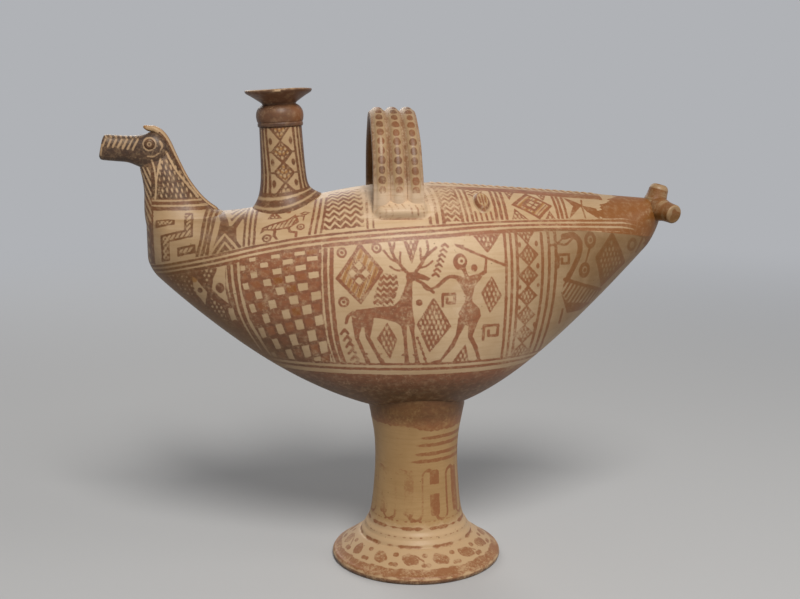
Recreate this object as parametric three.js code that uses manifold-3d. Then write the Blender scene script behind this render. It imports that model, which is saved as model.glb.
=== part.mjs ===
// Painted askos: a boat-shaped pouring vessel on a pedestal foot, with a deer-like head at the prow,
// a spout with a flared mouth, a triple-coil basket handle and a tail of three pegs.
// Every piece is thrown or modelled apart in leather-hard clay and luted to its neighbour with slip.
import * as THREE from 'three';
import { mergeVertices } from 'three/addons/utils/BufferGeometryUtils.js';
import Module from 'manifold-3d';

const wasm = await Module();
wasm.setup();

// Driving dimensions in millimetres. While modelling, x = 0 is the axis of the foot, x grows to the tail.

// Slip joint left between two pieces
const jointGap = 0.3;

// Body: a hollow boat, closed on top
const prowReach = 157;
const tailReach = 149;
const beam = 110;
const crownHeight = 229.3;
const keelHeight = 92;
const saddleDrop = 16;
const saddleStart = 10;
const saddleEnd = 125;
const ridgeSlope = 0.085;
const ridgeRound = 1.5;
const bowHeight = 90;
const bowCurve = 1.72;
const sternSlope = 1.2;
const sternRound = 96;
const chestWidth = 36;
const chestRound = 14;
const chestCorner = 6;
const tailWidth = 12;
const tailRound = 10;
const bowFullness = 1.25;
const sternFullness = 1;
const waistShare = 0.6;
const chestSquareness = 0.35;
const chestSquareStart = 90;
const chestSquareEnd = 150;

// Hollow inside the body
const bodyWall = 5.5;
const chestWall = 16;
const tailWall = 42;
const hollowEndRound = 24;

// Seam between hull and shoulder, hidden under the painted triple line
const seamDepth = 21.8;
const seamCrownX = 20;
const seamBowDrop = 24;

// Pedestal foot
const footRadius = 51.5;
const footRimHeight = 4;
const footRimRound = 1.2;
const mouldingRadius = 33;
const mouldingHeight = 18;
const mouldingProud = 2;
const stemFootRadius = 28.9;
const stemFootHeight = 25.5;
const stemRadius = 25;
const stemWaistHeight = 60;
const stemTopRadius = 28.5;
const footWall = 6.5;
const footRingWidth = 9;

// Spout, measured up its own axis from the ridge
const spoutOffset = 77.4;
const spoutLean = 2.6;
const spoutBore = 15;
const spoutRadius = 12;
const spoutFlareRadius = 17;
const spoutFlareHeight = 11;
const spoutNeckHeight = 43;
const collarRadius = 13.3;
const collarHeight = 12.6;
const collarBulgeShare = 0.32;
const collarTaperShare = 0.75;
const collarTaperFill = 0.6;
const throatRadius = 10.5;
const lipRadius = 19;
const lipHeight = 7.8;
const lipEdge = 2.2;
const lipTurnShare = 0.3;
const funnelBendShare = 0.62;
const funnelFootShare = 0.12;

// Basket handle of three coils
const handleOffset = 13.8;
const handleRise = 40;
const coilDiameter = 8.5;
const coilSplay = 0.9;
const padAngle = 0.69;
const padLength = 28.5;
const padHeight = 11;
const padThickness = 3;
const padCorner = 3.5;
const padBevel = 1.2;

// Neck of the animal at the prow, measured from the chest and the top of the body
const protomeRise = 33;
const protomeTopDepth = 14;
const protomeBackSlope = 0.6;
const protomeLean = 2.8;
const protomeFillet = 15;
const protomeFilletReach = 3.4;
const protomeBaseWidth = 27;
const protomeTopWidth = 17;

// Head
const headLength = 39;
const headLift = 4;
const muzzleReach = 26;
const muzzleHeight = 12.6;
const muzzleWidth = 11;
const craniumHeight = 19;
const craniumWidth = 15.5;
const muzzleRound = 3;
const muzzleBlunt = 0.7;
const craniumRound = 12;
const eyeDiameter = 6;
const eyeProud = 1.1;
const eyeRimProud = 0.2;
const eyeShoulderRadius = 2.2;
const eyeShoulderProud = 0.9;
const eyeSetback = 29.5;
const eyeLift = 2;

// Mane strap from the nape to the forelock
const maneWidth = 7;
const maneThickness = 4.4;
const maneProud = 0.45;
const pollProud = 0.9;
const napeShares = [0.06, 0.35, 0.68];
const crownShares = [0.08, 0.5];
const forelockReach = 7;
const forelockLift = 2.4;

// Tail pegs
const pegSetback = 6;
const pegDrop = 6.6;
const pegSplay = 72;
const pegDroop = 10;
const pegDiameter = 9.6;
const topPegLength = 15.5;
const sidePegLength = 18;
const pegRound = 2;
const pegRootRadius = 2.2;
const pegRootLength = 5;
const pegCorner = 0.6;

// Pierced lugs on the shoulder
const lugOffset = 33.6;
const lugAngle = 0.55;
const lugLength = 8.5;
const lugHeight = 12;
const lugProud = 3;
const lugEdge = 1.2;
const lugBevel = 0.75;
const lugWall = 2.4;
const lugHollowDepth = 2;

// How finely round forms are faceted
const bodyStations = 30;
const bodySides = 32;
const hollowStations = 16;
const hollowSides = 20;
const latheSides = 32;
const spoutSides = 26;
const smallLatheSides = 18;
const coilSegments = 5;
const coilSteps = 20;
const ovalSegments = 7;
const seamSteps = 20;
const protomeSides = 20;
const protomeStations = 10;
const headStations = 14;
const maneSteps = 16;

const { smoothstep, clamp, degToRad } = THREE.MathUtils;

// Clay bodies and paints
const clays = {
  creamSlip: new THREE.MeshStandardMaterial({ color: 0xd0ac78, roughness: 0.55, metalness: 0 }),
  brownSlip: new THREE.MeshStandardMaterial({ color: 0x6a4c38, roughness: 0.5, metalness: 0 }),
  footClay: new THREE.MeshStandardMaterial({ color: 0xb98f59, roughness: 0.6, metalness: 0 }),
};

// Solids, meshes and lofts

/** A closed geometry as a solid that can be joined and cut. */
function solidOf(geometry) {
  const bare = geometry.clone();
  bare.deleteAttribute('normal');
  bare.deleteAttribute('uv');
  const welded = mergeVertices(bare, 1e-4);
  const corners = welded.index.array;
  const triangles = [];
  for (let i = 0; i < corners.length; i += 3) {
    const [a, b, c] = corners.slice(i, i + 3);
    if (a !== b && b !== c && c !== a) triangles.push(a, b, c);
  }
  return new wasm.Manifold(new wasm.Mesh({
    numProp: 3,
    vertProperties: welded.attributes.position.array,
    triVerts: new Uint32Array(triangles),
  }));
}

/** The surface of a solid as a geometry. */
function geometryOf(solid) {
  const surface = solid.getMesh();
  const geometry = new THREE.BufferGeometry();
  geometry.setAttribute('position', new THREE.BufferAttribute(surface.vertProperties, 3));
  geometry.setIndex(new THREE.BufferAttribute(surface.triVerts, 1));
  geometry.computeVertexNormals();
  return geometry;
}

function piece(name, solid, clay) {
  const mesh = new THREE.Mesh(geometryOf(solid), clay);
  mesh.name = name;
  return mesh;
}

/** A closed skin over rings of points, each ring with the same number of points. */
function loft(rings) {
  const sides = rings[0].length;
  const points = rings.flat();
  const index = [];
  for (let i = 0; i + 1 < rings.length; i += 1) {
    for (let j = 0; j < sides; j += 1) {
      const a = i * sides + j;
      const b = i * sides + (j + 1) % sides;
      index.push(a, b, b + sides, a, b + sides, a + sides);
    }
  }
  for (const end of [0, rings.length - 1]) {
    const centre = new THREE.Vector3();
    for (const point of rings[end]) centre.addScaledVector(point, 1 / sides);
    points.push(centre);
    for (let j = 0; j < sides; j += 1) {
      const a = end * sides + j;
      const b = end * sides + (j + 1) % sides;
      const apex = points.length - 1;
      index.push(...(end === 0 ? [apex, b, a] : [apex, a, b]));
    }
  }
  const geometry = new THREE.BufferGeometry().setFromPoints(points);
  geometry.setIndex(index);
  return outward(geometry);
}

/** Turns every face round if they point inwards. */
function outward(geometry) {
  const place = geometry.attributes.position;
  const index = geometry.index.array;
  const [a, b, c] = [new THREE.Vector3(), new THREE.Vector3(), new THREE.Vector3()];
  let volume = 0;
  for (let i = 0; i < index.length; i += 3) {
    a.fromBufferAttribute(place, index[i]);
    b.fromBufferAttribute(place, index[i + 1]);
    c.fromBufferAttribute(place, index[i + 2]);
    volume += a.dot(b.cross(c));
  }
  if (volume < 0) index.reverse();
  return geometry;
}

/** A turned solid from [radius, height] points, standing on the z axis. */
function turned(profile, sides) {
  const outline = profile.map(([radius, height]) => new THREE.Vector2(radius, height));
  const geometry = new THREE.LatheGeometry(outline, sides);
  geometry.rotateX(Math.PI / 2);
  return outward(mergedFaces(geometry));
}

/** The same faces with shared corners, so that the skin is closed. */
function mergedFaces(geometry) {
  geometry.deleteAttribute('normal');
  geometry.deleteAttribute('uv');
  return mergeVertices(geometry, 1e-4);
}

/** Points evenly along a smooth line through [radius, height] points. */
function smoothProfile(points, steps) {
  const line = new THREE.SplineCurve(points.map(([radius, height]) => new THREE.Vector2(radius, height)));
  return line.getPoints(steps).map((point) => [point.x, point.y]);
}

// Shape of the body

/** Height gained along a line that starts level and bends up to a steady slope. */
const sweep = (distance, slope, round) => Math.hypot(round, slope * distance) - round;

/** Share of the full size at a depth behind a rounded end. */
const endShare = (depth, radius) => Math.sqrt(1 - (1 - clamp(depth / radius, 0, 1)) ** 2);

function ridgeAt(x) {
  const drop = x < 0 ? saddleDrop * smoothstep(-x, saddleStart, saddleEnd) : sweep(x, ridgeSlope, ridgeRound);
  return crownHeight - drop;
}

function keelAt(x) {
  const lift = x < 0 ? bowHeight * (-x / prowReach) ** bowCurve : sweep(x, sternSlope, sternRound);
  return keelHeight + lift + chestCorner * (1 - endShare(x + prowReach, chestCorner));
}

function halfBeamAt(x) {
  const [reach, endWidth, fullness] = x < 0
    ? [prowReach, chestWidth, bowFullness]
    : [tailReach, tailWidth, sternFullness];
  const share = clamp(1 - (x / reach) ** 2, 0, 1) ** fullness;
  return (endWidth + (beam - endWidth) * share) / 2;
}

/** A point of the body's skin: angle 0 is the ridge, a quarter turn the near side. */
function bodyPoint(x, angle) {
  const top = ridgeAt(x);
  const bottom = keelAt(x);
  const waist = bottom + waistShare * (top - bottom);
  const tail = endShare(tailReach - x, tailRound);
  const half = halfBeamAt(x) * tail * endShare(x + prowReach, chestRound);
  const across = Math.sin(angle);
  const up = Math.cos(angle);
  const square = 1 - chestSquareness * smoothstep(-x, chestSquareStart, chestSquareEnd);
  const power = up > 0 ? square : 1;
  const height = up > 0 ? top - waist : waist - bottom;
  return new THREE.Vector3(
    x,
    -half * Math.sign(across) * Math.abs(across) ** power,
    waist + height * tail * Math.sign(up) * Math.abs(up) ** power,
  );
}

/** Directions on the skin: along the body, round it towards the keel, and out of it. */
function bodyFrame(x, angle) {
  const step = 0.02;
  const along = bodyPoint(x + step, angle).sub(bodyPoint(x - step, angle)).normalize();
  const round = bodyPoint(x, angle + step).sub(bodyPoint(x, angle - step)).normalize();
  const out = new THREE.Vector3().crossVectors(round, along).normalize();
  return { along, out, round: new THREE.Vector3().crossVectors(along, out) };
}

/** The body, or a larger or smaller one whose skin lies a set distance out. */
function bodyLoft(offset, front, rear, stations, sides, endRound) {
  const rings = [];
  for (let i = 1; i < stations; i += 1) {
    const x = (front + rear) / 2 - (rear - front) / 2 * Math.cos(Math.PI * i / stations);
    const share = endShare(Math.min(x - front, rear - x), endRound);
    const ring = [];
    for (let j = 0; j < sides; j += 1) {
      const angle = 2 * Math.PI * (j + 0.5) / sides;
      ring.push(bodyPoint(x, angle).addScaledVector(bodyFrame(x, angle).out, offset));
    }
    const middle = new THREE.Vector3(x, 0, keelAt(x) + waistShare * (ridgeAt(x) - keelAt(x)));
    rings.push(ring.map((point) => point.lerp(middle, 1 - share)));
  }
  return loft(rings);
}

const noEndRound = 1e-6;
const bodyBlank = solidOf(bodyLoft(0, -prowReach, tailReach, bodyStations, bodySides, noEndRound));
const bodySeat = solidOf(bodyLoft(jointGap, -prowReach, tailReach, bodyStations, bodySides, noEndRound));
const bodyHollow = solidOf(bodyLoft(
  -bodyWall, -prowReach + chestWall, tailReach - tailWall, hollowStations, hollowSides, hollowEndRound));

// Hull and shoulder shells

const seamAt = (x) => crownHeight - seamDepth
  - seamBowDrop * ((x - seamCrownX) / (prowReach + seamCrownX)) ** 2;

/** Everything under the seam, raised by a set height. */
function belowSeam(raise) {
  const margin = 30;
  const outline = new THREE.Shape();
  outline.moveTo(-prowReach - margin, 0);
  for (let i = 0; i <= seamSteps; i += 1) {
    const x = -prowReach - margin + (prowReach + tailReach + 2 * margin) * i / seamSteps;
    outline.lineTo(x, seamAt(x) + raise);
  }
  outline.lineTo(tailReach + margin, 0);
  const block = new THREE.ExtrudeGeometry(outline, { depth: beam + 2 * margin, bevelEnabled: false });
  block.rotateX(Math.PI / 2);
  block.translate(0, beam / 2 + margin, 0);
  return solidOf(block);
}

// Spout group, leaning a little towards the head

const spout = new THREE.Group();
spout.position.set(-spoutOffset, 0, ridgeAt(-spoutOffset));
spout.rotation.y = -degToRad(spoutLean);
spout.updateMatrix();
const boreRadius = spoutBore / 2;

function movedBy(solid, matrix) {
  return solidOf(geometryOf(solid).applyMatrix4(matrix));
}

function spoutNeck() {
  const sink = spoutFlareRadius;
  const outside = smoothProfile([
    [spoutFlareRadius, -spoutFlareHeight / 3],
    [(spoutFlareRadius + spoutRadius) / 2, spoutFlareHeight / 4],
    [spoutRadius, spoutFlareHeight],
    [spoutRadius, spoutNeckHeight],
  ], 8);
  const tube = turned([
    [boreRadius, -sink], [spoutFlareRadius, -sink], ...outside,
    [boreRadius, spoutNeckHeight], [boreRadius, -sink],
  ], spoutSides);
  return solidOf(tube).subtract(movedBy(bodySeat, spout.matrix.clone().invert()));
}

function spoutCollar() {
  const foot = spoutNeckHeight + jointGap;
  const bulge = smoothProfile([
    [spoutRadius, foot],
    [collarRadius, foot + collarHeight * collarBulgeShare],
    [(collarRadius + throatRadius) / 2 + collarTaperFill, foot + collarHeight * collarTaperShare],
    [throatRadius, foot + collarHeight],
  ], 8);
  return solidOf(turned([
    [boreRadius, foot], ...bulge, [boreRadius, foot + collarHeight], [boreRadius, foot],
  ], spoutSides));
}

function spoutLip() {
  const foot = spoutNeckHeight + collarHeight + 2 * jointGap;
  const top = foot + lipHeight;
  const under = smoothProfile([
    [throatRadius, foot],
    [(throatRadius * 2 + lipRadius) / 3, foot + lipHeight * lipTurnShare],
    [lipRadius - lipEdge / 4, top - lipEdge],
    [lipRadius, top - lipEdge / 2],
  ], 7);
  const funnel = smoothProfile([
    [lipRadius - lipEdge / 2, top],
    [(lipRadius + boreRadius) / 2, foot + lipHeight * funnelBendShare],
    [boreRadius, foot + lipHeight * funnelFootShare],
  ], 5);
  return solidOf(turned([[boreRadius, foot], ...under, ...funnel, [boreRadius, foot]], spoutSides));
}

spout.add(
  piece('spout_neck', spoutNeck(), clays.creamSlip),
  piece('spout_collar', spoutCollar(), clays.brownSlip),
  piece('spout_lip', spoutLip(), clays.brownSlip),
);

/** The pouring hole through the shoulder, in line with the bore of the spout. */
function pouringHole() {
  const depth = bodyWall * 4;
  const drill = new THREE.CylinderGeometry(boreRadius, boreRadius, 2 * depth, spoutSides);
  drill.rotateX(Math.PI / 2);
  return solidOf(drill.applyMatrix4(spout.matrix));
}

const bodyShell = bodyBlank.subtract(bodyHollow);
const hullShell = bodyShell.intersect(belowSeam(0));
const shoulderShell = bodyShell.subtract(belowSeam(jointGap)).subtract(pouringHole());

// Pedestal foot, hollow and open below

function pedestalFoot() {
  const sunk = keelHeight + beam / 4;
  const ringRadius = footRadius - footRingWidth;
  const stem = smoothProfile([
    [mouldingRadius - mouldingProud, mouldingHeight + mouldingProud],
    [stemFootRadius, stemFootHeight],
    [stemRadius, stemWaistHeight],
    [stemTopRadius, keelHeight],
  ], 8);
  const hollow = smoothProfile([
    [stemRadius - footWall, sunk],
    [stemRadius - footWall, (stemFootHeight + stemWaistHeight) / 2],
    [stemFootRadius - footWall, stemFootHeight],
    [ringRadius, 0],
  ], 8);
  const profile = [
    [ringRadius, 0],
    [footRadius - footRimRound, 0],
    [footRadius, footRimRound],
    [footRadius, footRimHeight - footRimRound],
    [footRadius - 2 * footRimRound, footRimHeight + footRimRound],
    [mouldingRadius + footRimRound, mouldingHeight - mouldingProud],
    [mouldingRadius, mouldingHeight],
    ...stem,
    [stemTopRadius, sunk],
    ...hollow,
  ];
  return solidOf(turned(profile, latheSides)).subtract(bodySeat);
}

// Basket handle

const coilRadius = coilDiameter / 2;
const padPlace = bodyPoint(-handleOffset, padAngle);

class CoilPath extends THREE.Curve {
  constructor(shift) {
    super();
    this.shift = shift;
  }

  getPoint(share, target = new THREE.Vector3()) {
    const turn = Math.PI * share;
    const splay = this.shift * (coilDiameter + jointGap + coilSplay * Math.cos(turn) ** 2);
    const top = ridgeAt(-handleOffset) + handleRise;
    const base = padPlace.z;
    return target.set(
      -handleOffset + splay,
      padPlace.y * Math.cos(turn),
      base + (top - base) * Math.sin(turn),
    );
  }
}

function coil(shift) {
  const section = new THREE.Shape();
  section.absarc(0, 0, coilRadius, 0, 2 * Math.PI);
  const tube = new THREE.ExtrudeGeometry(section, {
    steps: coilSteps,
    curveSegments: coilSegments,
    bevelEnabled: false,
    extrudePath: new CoilPath(shift),
  });
  return solidOf(tube);
}

/** A rounded plate lying on the shoulder, larger all round by a set margin. */
function padBlank(side, margin) {
  const [halfLength, halfHeight] = [padLength / 2 - padBevel, padHeight / 2 - padBevel];
  const plate = new THREE.Shape();
  plate.moveTo(-halfLength + padCorner, -halfHeight);
  plate.lineTo(halfLength - padCorner, -halfHeight);
  plate.quadraticCurveTo(halfLength, -halfHeight, halfLength, -halfHeight + padCorner);
  plate.lineTo(halfLength, halfHeight - padCorner);
  plate.quadraticCurveTo(halfLength, halfHeight, halfLength - padCorner, halfHeight);
  plate.lineTo(-halfLength + padCorner, halfHeight);
  plate.quadraticCurveTo(-halfLength, halfHeight, -halfLength, halfHeight - padCorner);
  plate.lineTo(-halfLength, -halfHeight + padCorner);
  plate.quadraticCurveTo(-halfLength, -halfHeight, -halfLength + padCorner, -halfHeight);
  const sink = padThickness;
  const slab = new THREE.ExtrudeGeometry(plate, {
    depth: sink + padThickness - padBevel + margin,
    curveSegments: 4,
    bevelThickness: padBevel,
    bevelSize: padBevel + margin,
    bevelSegments: 2,
  });
  slab.translate(0, 0, -sink);
  return solidOf(slab.applyMatrix4(placeOnBody(-handleOffset, side * padAngle)));
}

/** Places a form that stands on its own z axis upright on the skin of the body. */
function placeOnBody(x, angle) {
  const { along, round, out } = bodyFrame(x, angle);
  return new THREE.Matrix4().makeBasis(along, round.negate(), out).setPosition(bodyPoint(x, angle));
}

const handle = new THREE.Group();
const padSeats = [1, -1].map((side) => padBlank(side, jointGap));
for (const [name, side] of [['handle_pad_left', 1], ['handle_pad_right', -1]]) {
  handle.add(piece(name, padBlank(side, 0).subtract(bodySeat), clays.creamSlip));
}
for (const [name, shift] of [['handle_coil_front', -1], ['handle_coil_middle', 0], ['handle_coil_rear', 1]]) {
  const bar = coil(shift).subtract(padSeats[0]).subtract(padSeats[1]).subtract(bodySeat);
  handle.add(piece(name, bar, clays.creamSlip));
}

// Neck and head of the animal at the prow

const chestTop = ridgeAt(-prowReach);

/** Front and back of the neck at a height over the chest. */
function protomeSpan(height) {
  const up = Math.max(height, 0);
  const front = -prowReach - protomeLean * (up / protomeRise) ** 2;
  const back = -prowReach - protomeLean + protomeTopDepth
    + protomeBackSlope * (protomeRise - up) + protomeFillet * Math.exp(-up / protomeFilletReach);
  const share = clamp(up / protomeRise, 0, 1);
  return { front, back, width: protomeBaseWidth + (protomeTopWidth - protomeBaseWidth) * share };
}

function protomeNeckBlank(offset) {
  const rings = [];
  const sink = chestCorner / 2;
  for (let i = 0; i <= protomeStations; i += 1) {
    const height = -sink + (protomeRise + sink) * i / protomeStations;
    const { front, back, width } = protomeSpan(height);
    const ring = [];
    for (let j = 0; j < protomeSides; j += 1) {
      const angle = 2 * Math.PI * j / protomeSides;
      ring.push(new THREE.Vector3(
        (front + back) / 2 + ((back - front) / 2 + offset) * Math.cos(angle),
        (width / 2 + offset) * Math.sin(angle),
        chestTop + height,
      ));
    }
    rings.push(ring);
  }
  return solidOf(loft(rings));
}

const headMiddle = chestTop + protomeRise + headLift;
const muzzleTip = -prowReach - muzzleReach;

/** Half height and half width of the head at a depth behind the tip of the muzzle. */
function headHalves(depth) {
  const grow = smoothstep(depth, 0, headLength - craniumRound / 2);
  const ends = Math.min(
    muzzleBlunt + (1 - muzzleBlunt) * endShare(depth, muzzleRound),
    endShare(headLength - depth, craniumRound),
  );
  return {
    high: (muzzleHeight + (craniumHeight - muzzleHeight) * grow) / 2 * ends,
    wide: (muzzleWidth + (craniumWidth - muzzleWidth) * grow) / 2 * ends,
  };
}

function headBlank(offset) {
  const rings = [];
  for (let i = 0; i < headStations; i += 1) {
    const depth = headLength * (1 - Math.cos(Math.PI * i / headStations)) / 2;
    const { high, wide } = headHalves(depth);
    const ring = [];
    for (let j = 0; j < protomeSides; j += 1) {
      const angle = 2 * Math.PI * j / protomeSides;
      ring.push(new THREE.Vector3(
        muzzleTip + depth + offset * (2 * depth / headLength - 1),
        (wide + offset) * Math.cos(angle),
        headMiddle + (high + offset) * Math.sin(angle),
      ));
    }
    rings.push(ring);
  }
  return solidOf(loft(rings));
}

const headSeat = headBlank(jointGap);
const neckSeat = protomeNeckBlank(jointGap);

function maneCrest() {
  const nape = napeShares.map((share) => {
    const height = protomeRise * share;
    return new THREE.Vector3(protomeSpan(height).back + maneProud, 0, chestTop + height);
  });
  const crownX = muzzleTip + headLength - craniumRound;
  const crown = crownShares.map((share) => {
    const reach = craniumRound * Math.cos(share * Math.PI / 2);
    const lift = craniumHeight / 2 * Math.sin(share * Math.PI / 2);
    return new THREE.Vector3(crownX + reach + maneProud, 0, headMiddle + lift + maneProud);
  });
  const poll = new THREE.Vector3(crownX, 0, headMiddle + craniumHeight / 2 + pollProud);
  const tip = new THREE.Vector3(poll.x - forelockReach, 0, poll.z + forelockLift);
  const route = new THREE.CatmullRomCurve3([...nape, ...crown, poll, tip], false, 'centripetal');
  const section = new THREE.Shape();
  section.absellipse(0, 0, maneWidth / 2, maneThickness / 2, 0, 2 * Math.PI);
  const strap = new THREE.ExtrudeGeometry(section, {
    steps: maneSteps, curveSegments: ovalSegments, bevelEnabled: false, extrudePath: route,
  });
  return solidOf(strap).subtract(neckSeat).subtract(headSeat);
}

function eyePellet(side) {
  const { high, wide } = headHalves(eyeSetback);
  const level = wide * Math.sqrt(1 - (eyeLift / high) ** 2);
  const pellet = turned([
    [0, -eyeDiameter / 2],
    [eyeDiameter / 2, -eyeDiameter / 2],
    [eyeDiameter / 2, eyeRimProud],
    [eyeShoulderRadius, eyeShoulderProud],
    [0, eyeProud],
  ], smallLatheSides);
  pellet.rotateX(side * Math.PI / 2);
  pellet.translate(muzzleTip + eyeSetback, -side * level, headMiddle + eyeLift);
  return solidOf(pellet).subtract(headSeat);
}

const protome = new THREE.Group();
protome.add(
  piece('protome_neck', protomeNeckBlank(0).subtract(bodySeat).subtract(headSeat), clays.creamSlip),
  piece('protome_head', headBlank(0), clays.brownSlip),
  piece('mane_crest', maneCrest(), clays.creamSlip),
  piece('eye_pellet_left', eyePellet(1), clays.creamSlip),
  piece('eye_pellet_right', eyePellet(-1), clays.creamSlip),
);

// Tail pegs, one up and one to each side

const pegX = tailReach - pegSetback;
const pegHeight = ridgeAt(pegX) - pegDrop;

/** A peg with a tapered root that leans back from the tail, turned about the long axis: 0 points it up. */
function pegBlank(length, turn, margin) {
  const radius = pegDiameter / 2 + margin;
  const end = length + margin;
  const peg = turned([
    [0, 0],
    [pegRootRadius + margin, 0],
    [radius, pegRootLength],
    [radius, end - pegRound],
    [radius - pegCorner, end - pegCorner],
    [radius - pegRound, end],
    [0, end],
  ], smallLatheSides);
  peg.rotateY(degToRad(90 - pegSplay));
  peg.rotateX(turn);
  peg.translate(pegX, 0, pegHeight);
  return solidOf(peg);
}

const sideTurn = degToRad(90 + pegDroop);
const topPegSeat = pegBlank(topPegLength, 0, jointGap);
const leftPegSeat = pegBlank(sidePegLength, sideTurn, jointGap);
const tail = new THREE.Group();
tail.add(
  piece('tail_peg_top', pegBlank(topPegLength, 0, 0).subtract(bodySeat), clays.creamSlip),
  piece('tail_peg_left', pegBlank(sidePegLength, sideTurn, 0).subtract(bodySeat).subtract(topPegSeat),
    clays.creamSlip),
  piece('tail_peg_right', pegBlank(sidePegLength, -sideTurn, 0).subtract(bodySeat).subtract(topPegSeat)
    .subtract(leftPegSeat), clays.creamSlip),
);

// Shoulder lugs, oval cups pressed on with a finger

function shoulderLug(side) {
  const sink = lugProud;
  const oval = (lengthwise, upward) => {
    const shape = new THREE.Shape();
    shape.absellipse(0, 0, lengthwise / 2, upward / 2, 0, 2 * Math.PI);
    return shape;
  };
  const boss = new THREE.ExtrudeGeometry(oval(lugLength - 2 * lugBevel, lugHeight - 2 * lugBevel), {
    depth: sink + lugProud - lugEdge,
    curveSegments: ovalSegments,
    bevelThickness: lugEdge,
    bevelSize: lugBevel,
    bevelSegments: 2,
  });
  boss.translate(0, 0, -sink);
  const cup = new THREE.ExtrudeGeometry(oval(lugLength - 2 * lugWall, lugHeight - 2 * lugWall), {
    depth: lugProud * 2, curveSegments: ovalSegments, bevelEnabled: false,
  });
  cup.translate(0, 0, lugProud - lugHollowDepth);
  const place = placeOnBody(lugOffset, side * lugAngle);
  return solidOf(boss.applyMatrix4(place)).subtract(solidOf(cup.applyMatrix4(place))).subtract(bodySeat);
}

// The whole vessel, standing on the ground with its box centred on the origin

const askos = new THREE.Group();
askos.add(
  piece('hull_shell', hullShell, clays.creamSlip),
  piece('shoulder_shell', shoulderShell, clays.creamSlip),
  piece('pedestal_foot', pedestalFoot(), clays.footClay),
  piece('side_lug_left', shoulderLug(1), clays.creamSlip),
  piece('side_lug_right', shoulderLug(-1), clays.creamSlip),
  spout,
  handle,
  protome,
  tail,
);
askos.updateMatrixWorld(true);
const middle = new THREE.Box3().setFromObject(askos, true).getCenter(new THREE.Vector3());
askos.position.set(-middle.x, -middle.y, 0);

export default askos;
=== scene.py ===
import math

import bmesh
import bpy
import numpy as np
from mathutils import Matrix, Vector


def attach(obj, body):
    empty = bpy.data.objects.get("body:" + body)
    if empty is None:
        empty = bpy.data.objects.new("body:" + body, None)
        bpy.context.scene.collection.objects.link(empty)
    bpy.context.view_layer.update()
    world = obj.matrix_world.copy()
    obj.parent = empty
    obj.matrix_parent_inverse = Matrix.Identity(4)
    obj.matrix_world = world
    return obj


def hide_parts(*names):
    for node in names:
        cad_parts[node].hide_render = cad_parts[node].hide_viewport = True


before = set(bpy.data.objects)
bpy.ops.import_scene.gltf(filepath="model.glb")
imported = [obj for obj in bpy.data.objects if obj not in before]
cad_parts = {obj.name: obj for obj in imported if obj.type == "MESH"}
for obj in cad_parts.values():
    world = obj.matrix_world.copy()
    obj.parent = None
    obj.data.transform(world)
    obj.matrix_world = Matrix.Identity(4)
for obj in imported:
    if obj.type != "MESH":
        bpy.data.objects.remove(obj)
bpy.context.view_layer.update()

# Sizes in millimetres, as in the part. While modelling, x = 0 is the foot's axis and x grows to the tail.
FOOT_X = 15.28
PROW, TAIL = 157.0, 149.0
BEAM, CHEST_WIDTH, TAIL_WIDTH = 110.0, 36.0, 12.0
CROWN, KEEL = 229.3, 92.0
SADDLE_DROP, SADDLE_START, SADDLE_END = 16.0, 10.0, 125.0
RIDGE_SLOPE, RIDGE_BEND = 0.085, 1.5
STERN_SLOPE, STERN_BEND = 1.2, 96.0
BOW_HEIGHT, BOW_CURVE, BOW_FULLNESS = 90.0, 1.72, 1.25
CHEST_ROUND, CHEST_CORNER, CHEST_SQUARE, TAIL_ROUND = 14.0, 6.0, 0.35, 10.0
WAIST_SHARE = 0.6
SEAM_DROP, SEAM_SAG, SEAM_PEAK_X = 21.8, 24.0, 20.0
WALL, HOLLOW_BOW, HOLLOW_STERN, HOLLOW_ROUND = 5.5, 16.0, 42.0, 24.0
ROPE_PITCH, ROPE_HEIGHT, ROPE_REACH = 4.4, 0.8, 2.4
SPOUT_X, SPOUT_LEAN, SPOUT_BORE = -77.4, math.radians(2.6), 7.5
HANDLE_X, HANDLE_RISE, PAD_ANGLE = -13.8, 40.0, 0.69
COIL_PITCH, COIL_HALF_THICK, COIL_HALF_WIDE, COIL_DOT_PITCH = 8.6, 4.1, 3.85, 5.4
PAD_HALF_X, PAD_HALF_ROUND = 14.6, 6.4
LUG_X, LUG_ANGLE, LUG_HALF_X, LUG_HALF_ROUND = 33.6, 0.55, 4.3, 8.2
EYE_X, EYE_Z, EYE_RADIUS = -153.1, 253.0, 3.0
PEG_X, PEG_RADIUS, PEG_TURN = 144.0, 5.8, math.radians(100)
STEM_RADIUS, FOOT_MARKS_RADIUS, FOOT_MARKS = 25.6, 41.0, 14

# Distances of the paint: far from any, and well inside a painted area
FAR, SOLID = 40.0, -3.0
EVERYWHERE = (-360.0, 360.0, -360.0, 360.0)
# Tone deepens the paint and the last layer darkens the ground with grime; both also carry painted shade
PAINT_LAYERS = ("ink", "ochre", "tone", "wear", "grime_and_shade")

WELD_DISTANCE = 2e-6
SHARP_ANGLE = math.radians(50)

CAMERA_LENS, CAMERA_PLACE = 52.65, (-0.094 + FOOT_X / 1000, -0.6839, 0.283)
CAMERA_TURN = (math.radians(90 - 10.15), 0, math.radians(-7))
LAMP_AIM, LAMP_COLOUR = (0, 0, 0.17), (1.0, 0.97, 0.92)


def smooth(value, low, high):
    share = np.clip((value - low) / (high - low), 0, 1)
    return share * share * (3 - 2 * share)


def sweep(distance, slope, bend):
    return np.hypot(bend, slope * distance) - bend


def end_share(depth, radius):
    return np.sqrt(1 - (1 - np.clip(depth / radius, 0, 1)) ** 2)


# Shape of the body

def ridge_at(x):
    saddle = SADDLE_DROP * smooth(-x, SADDLE_START, SADDLE_END)
    return CROWN - np.where(x < 0, saddle, sweep(x, RIDGE_SLOPE, RIDGE_BEND))


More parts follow.
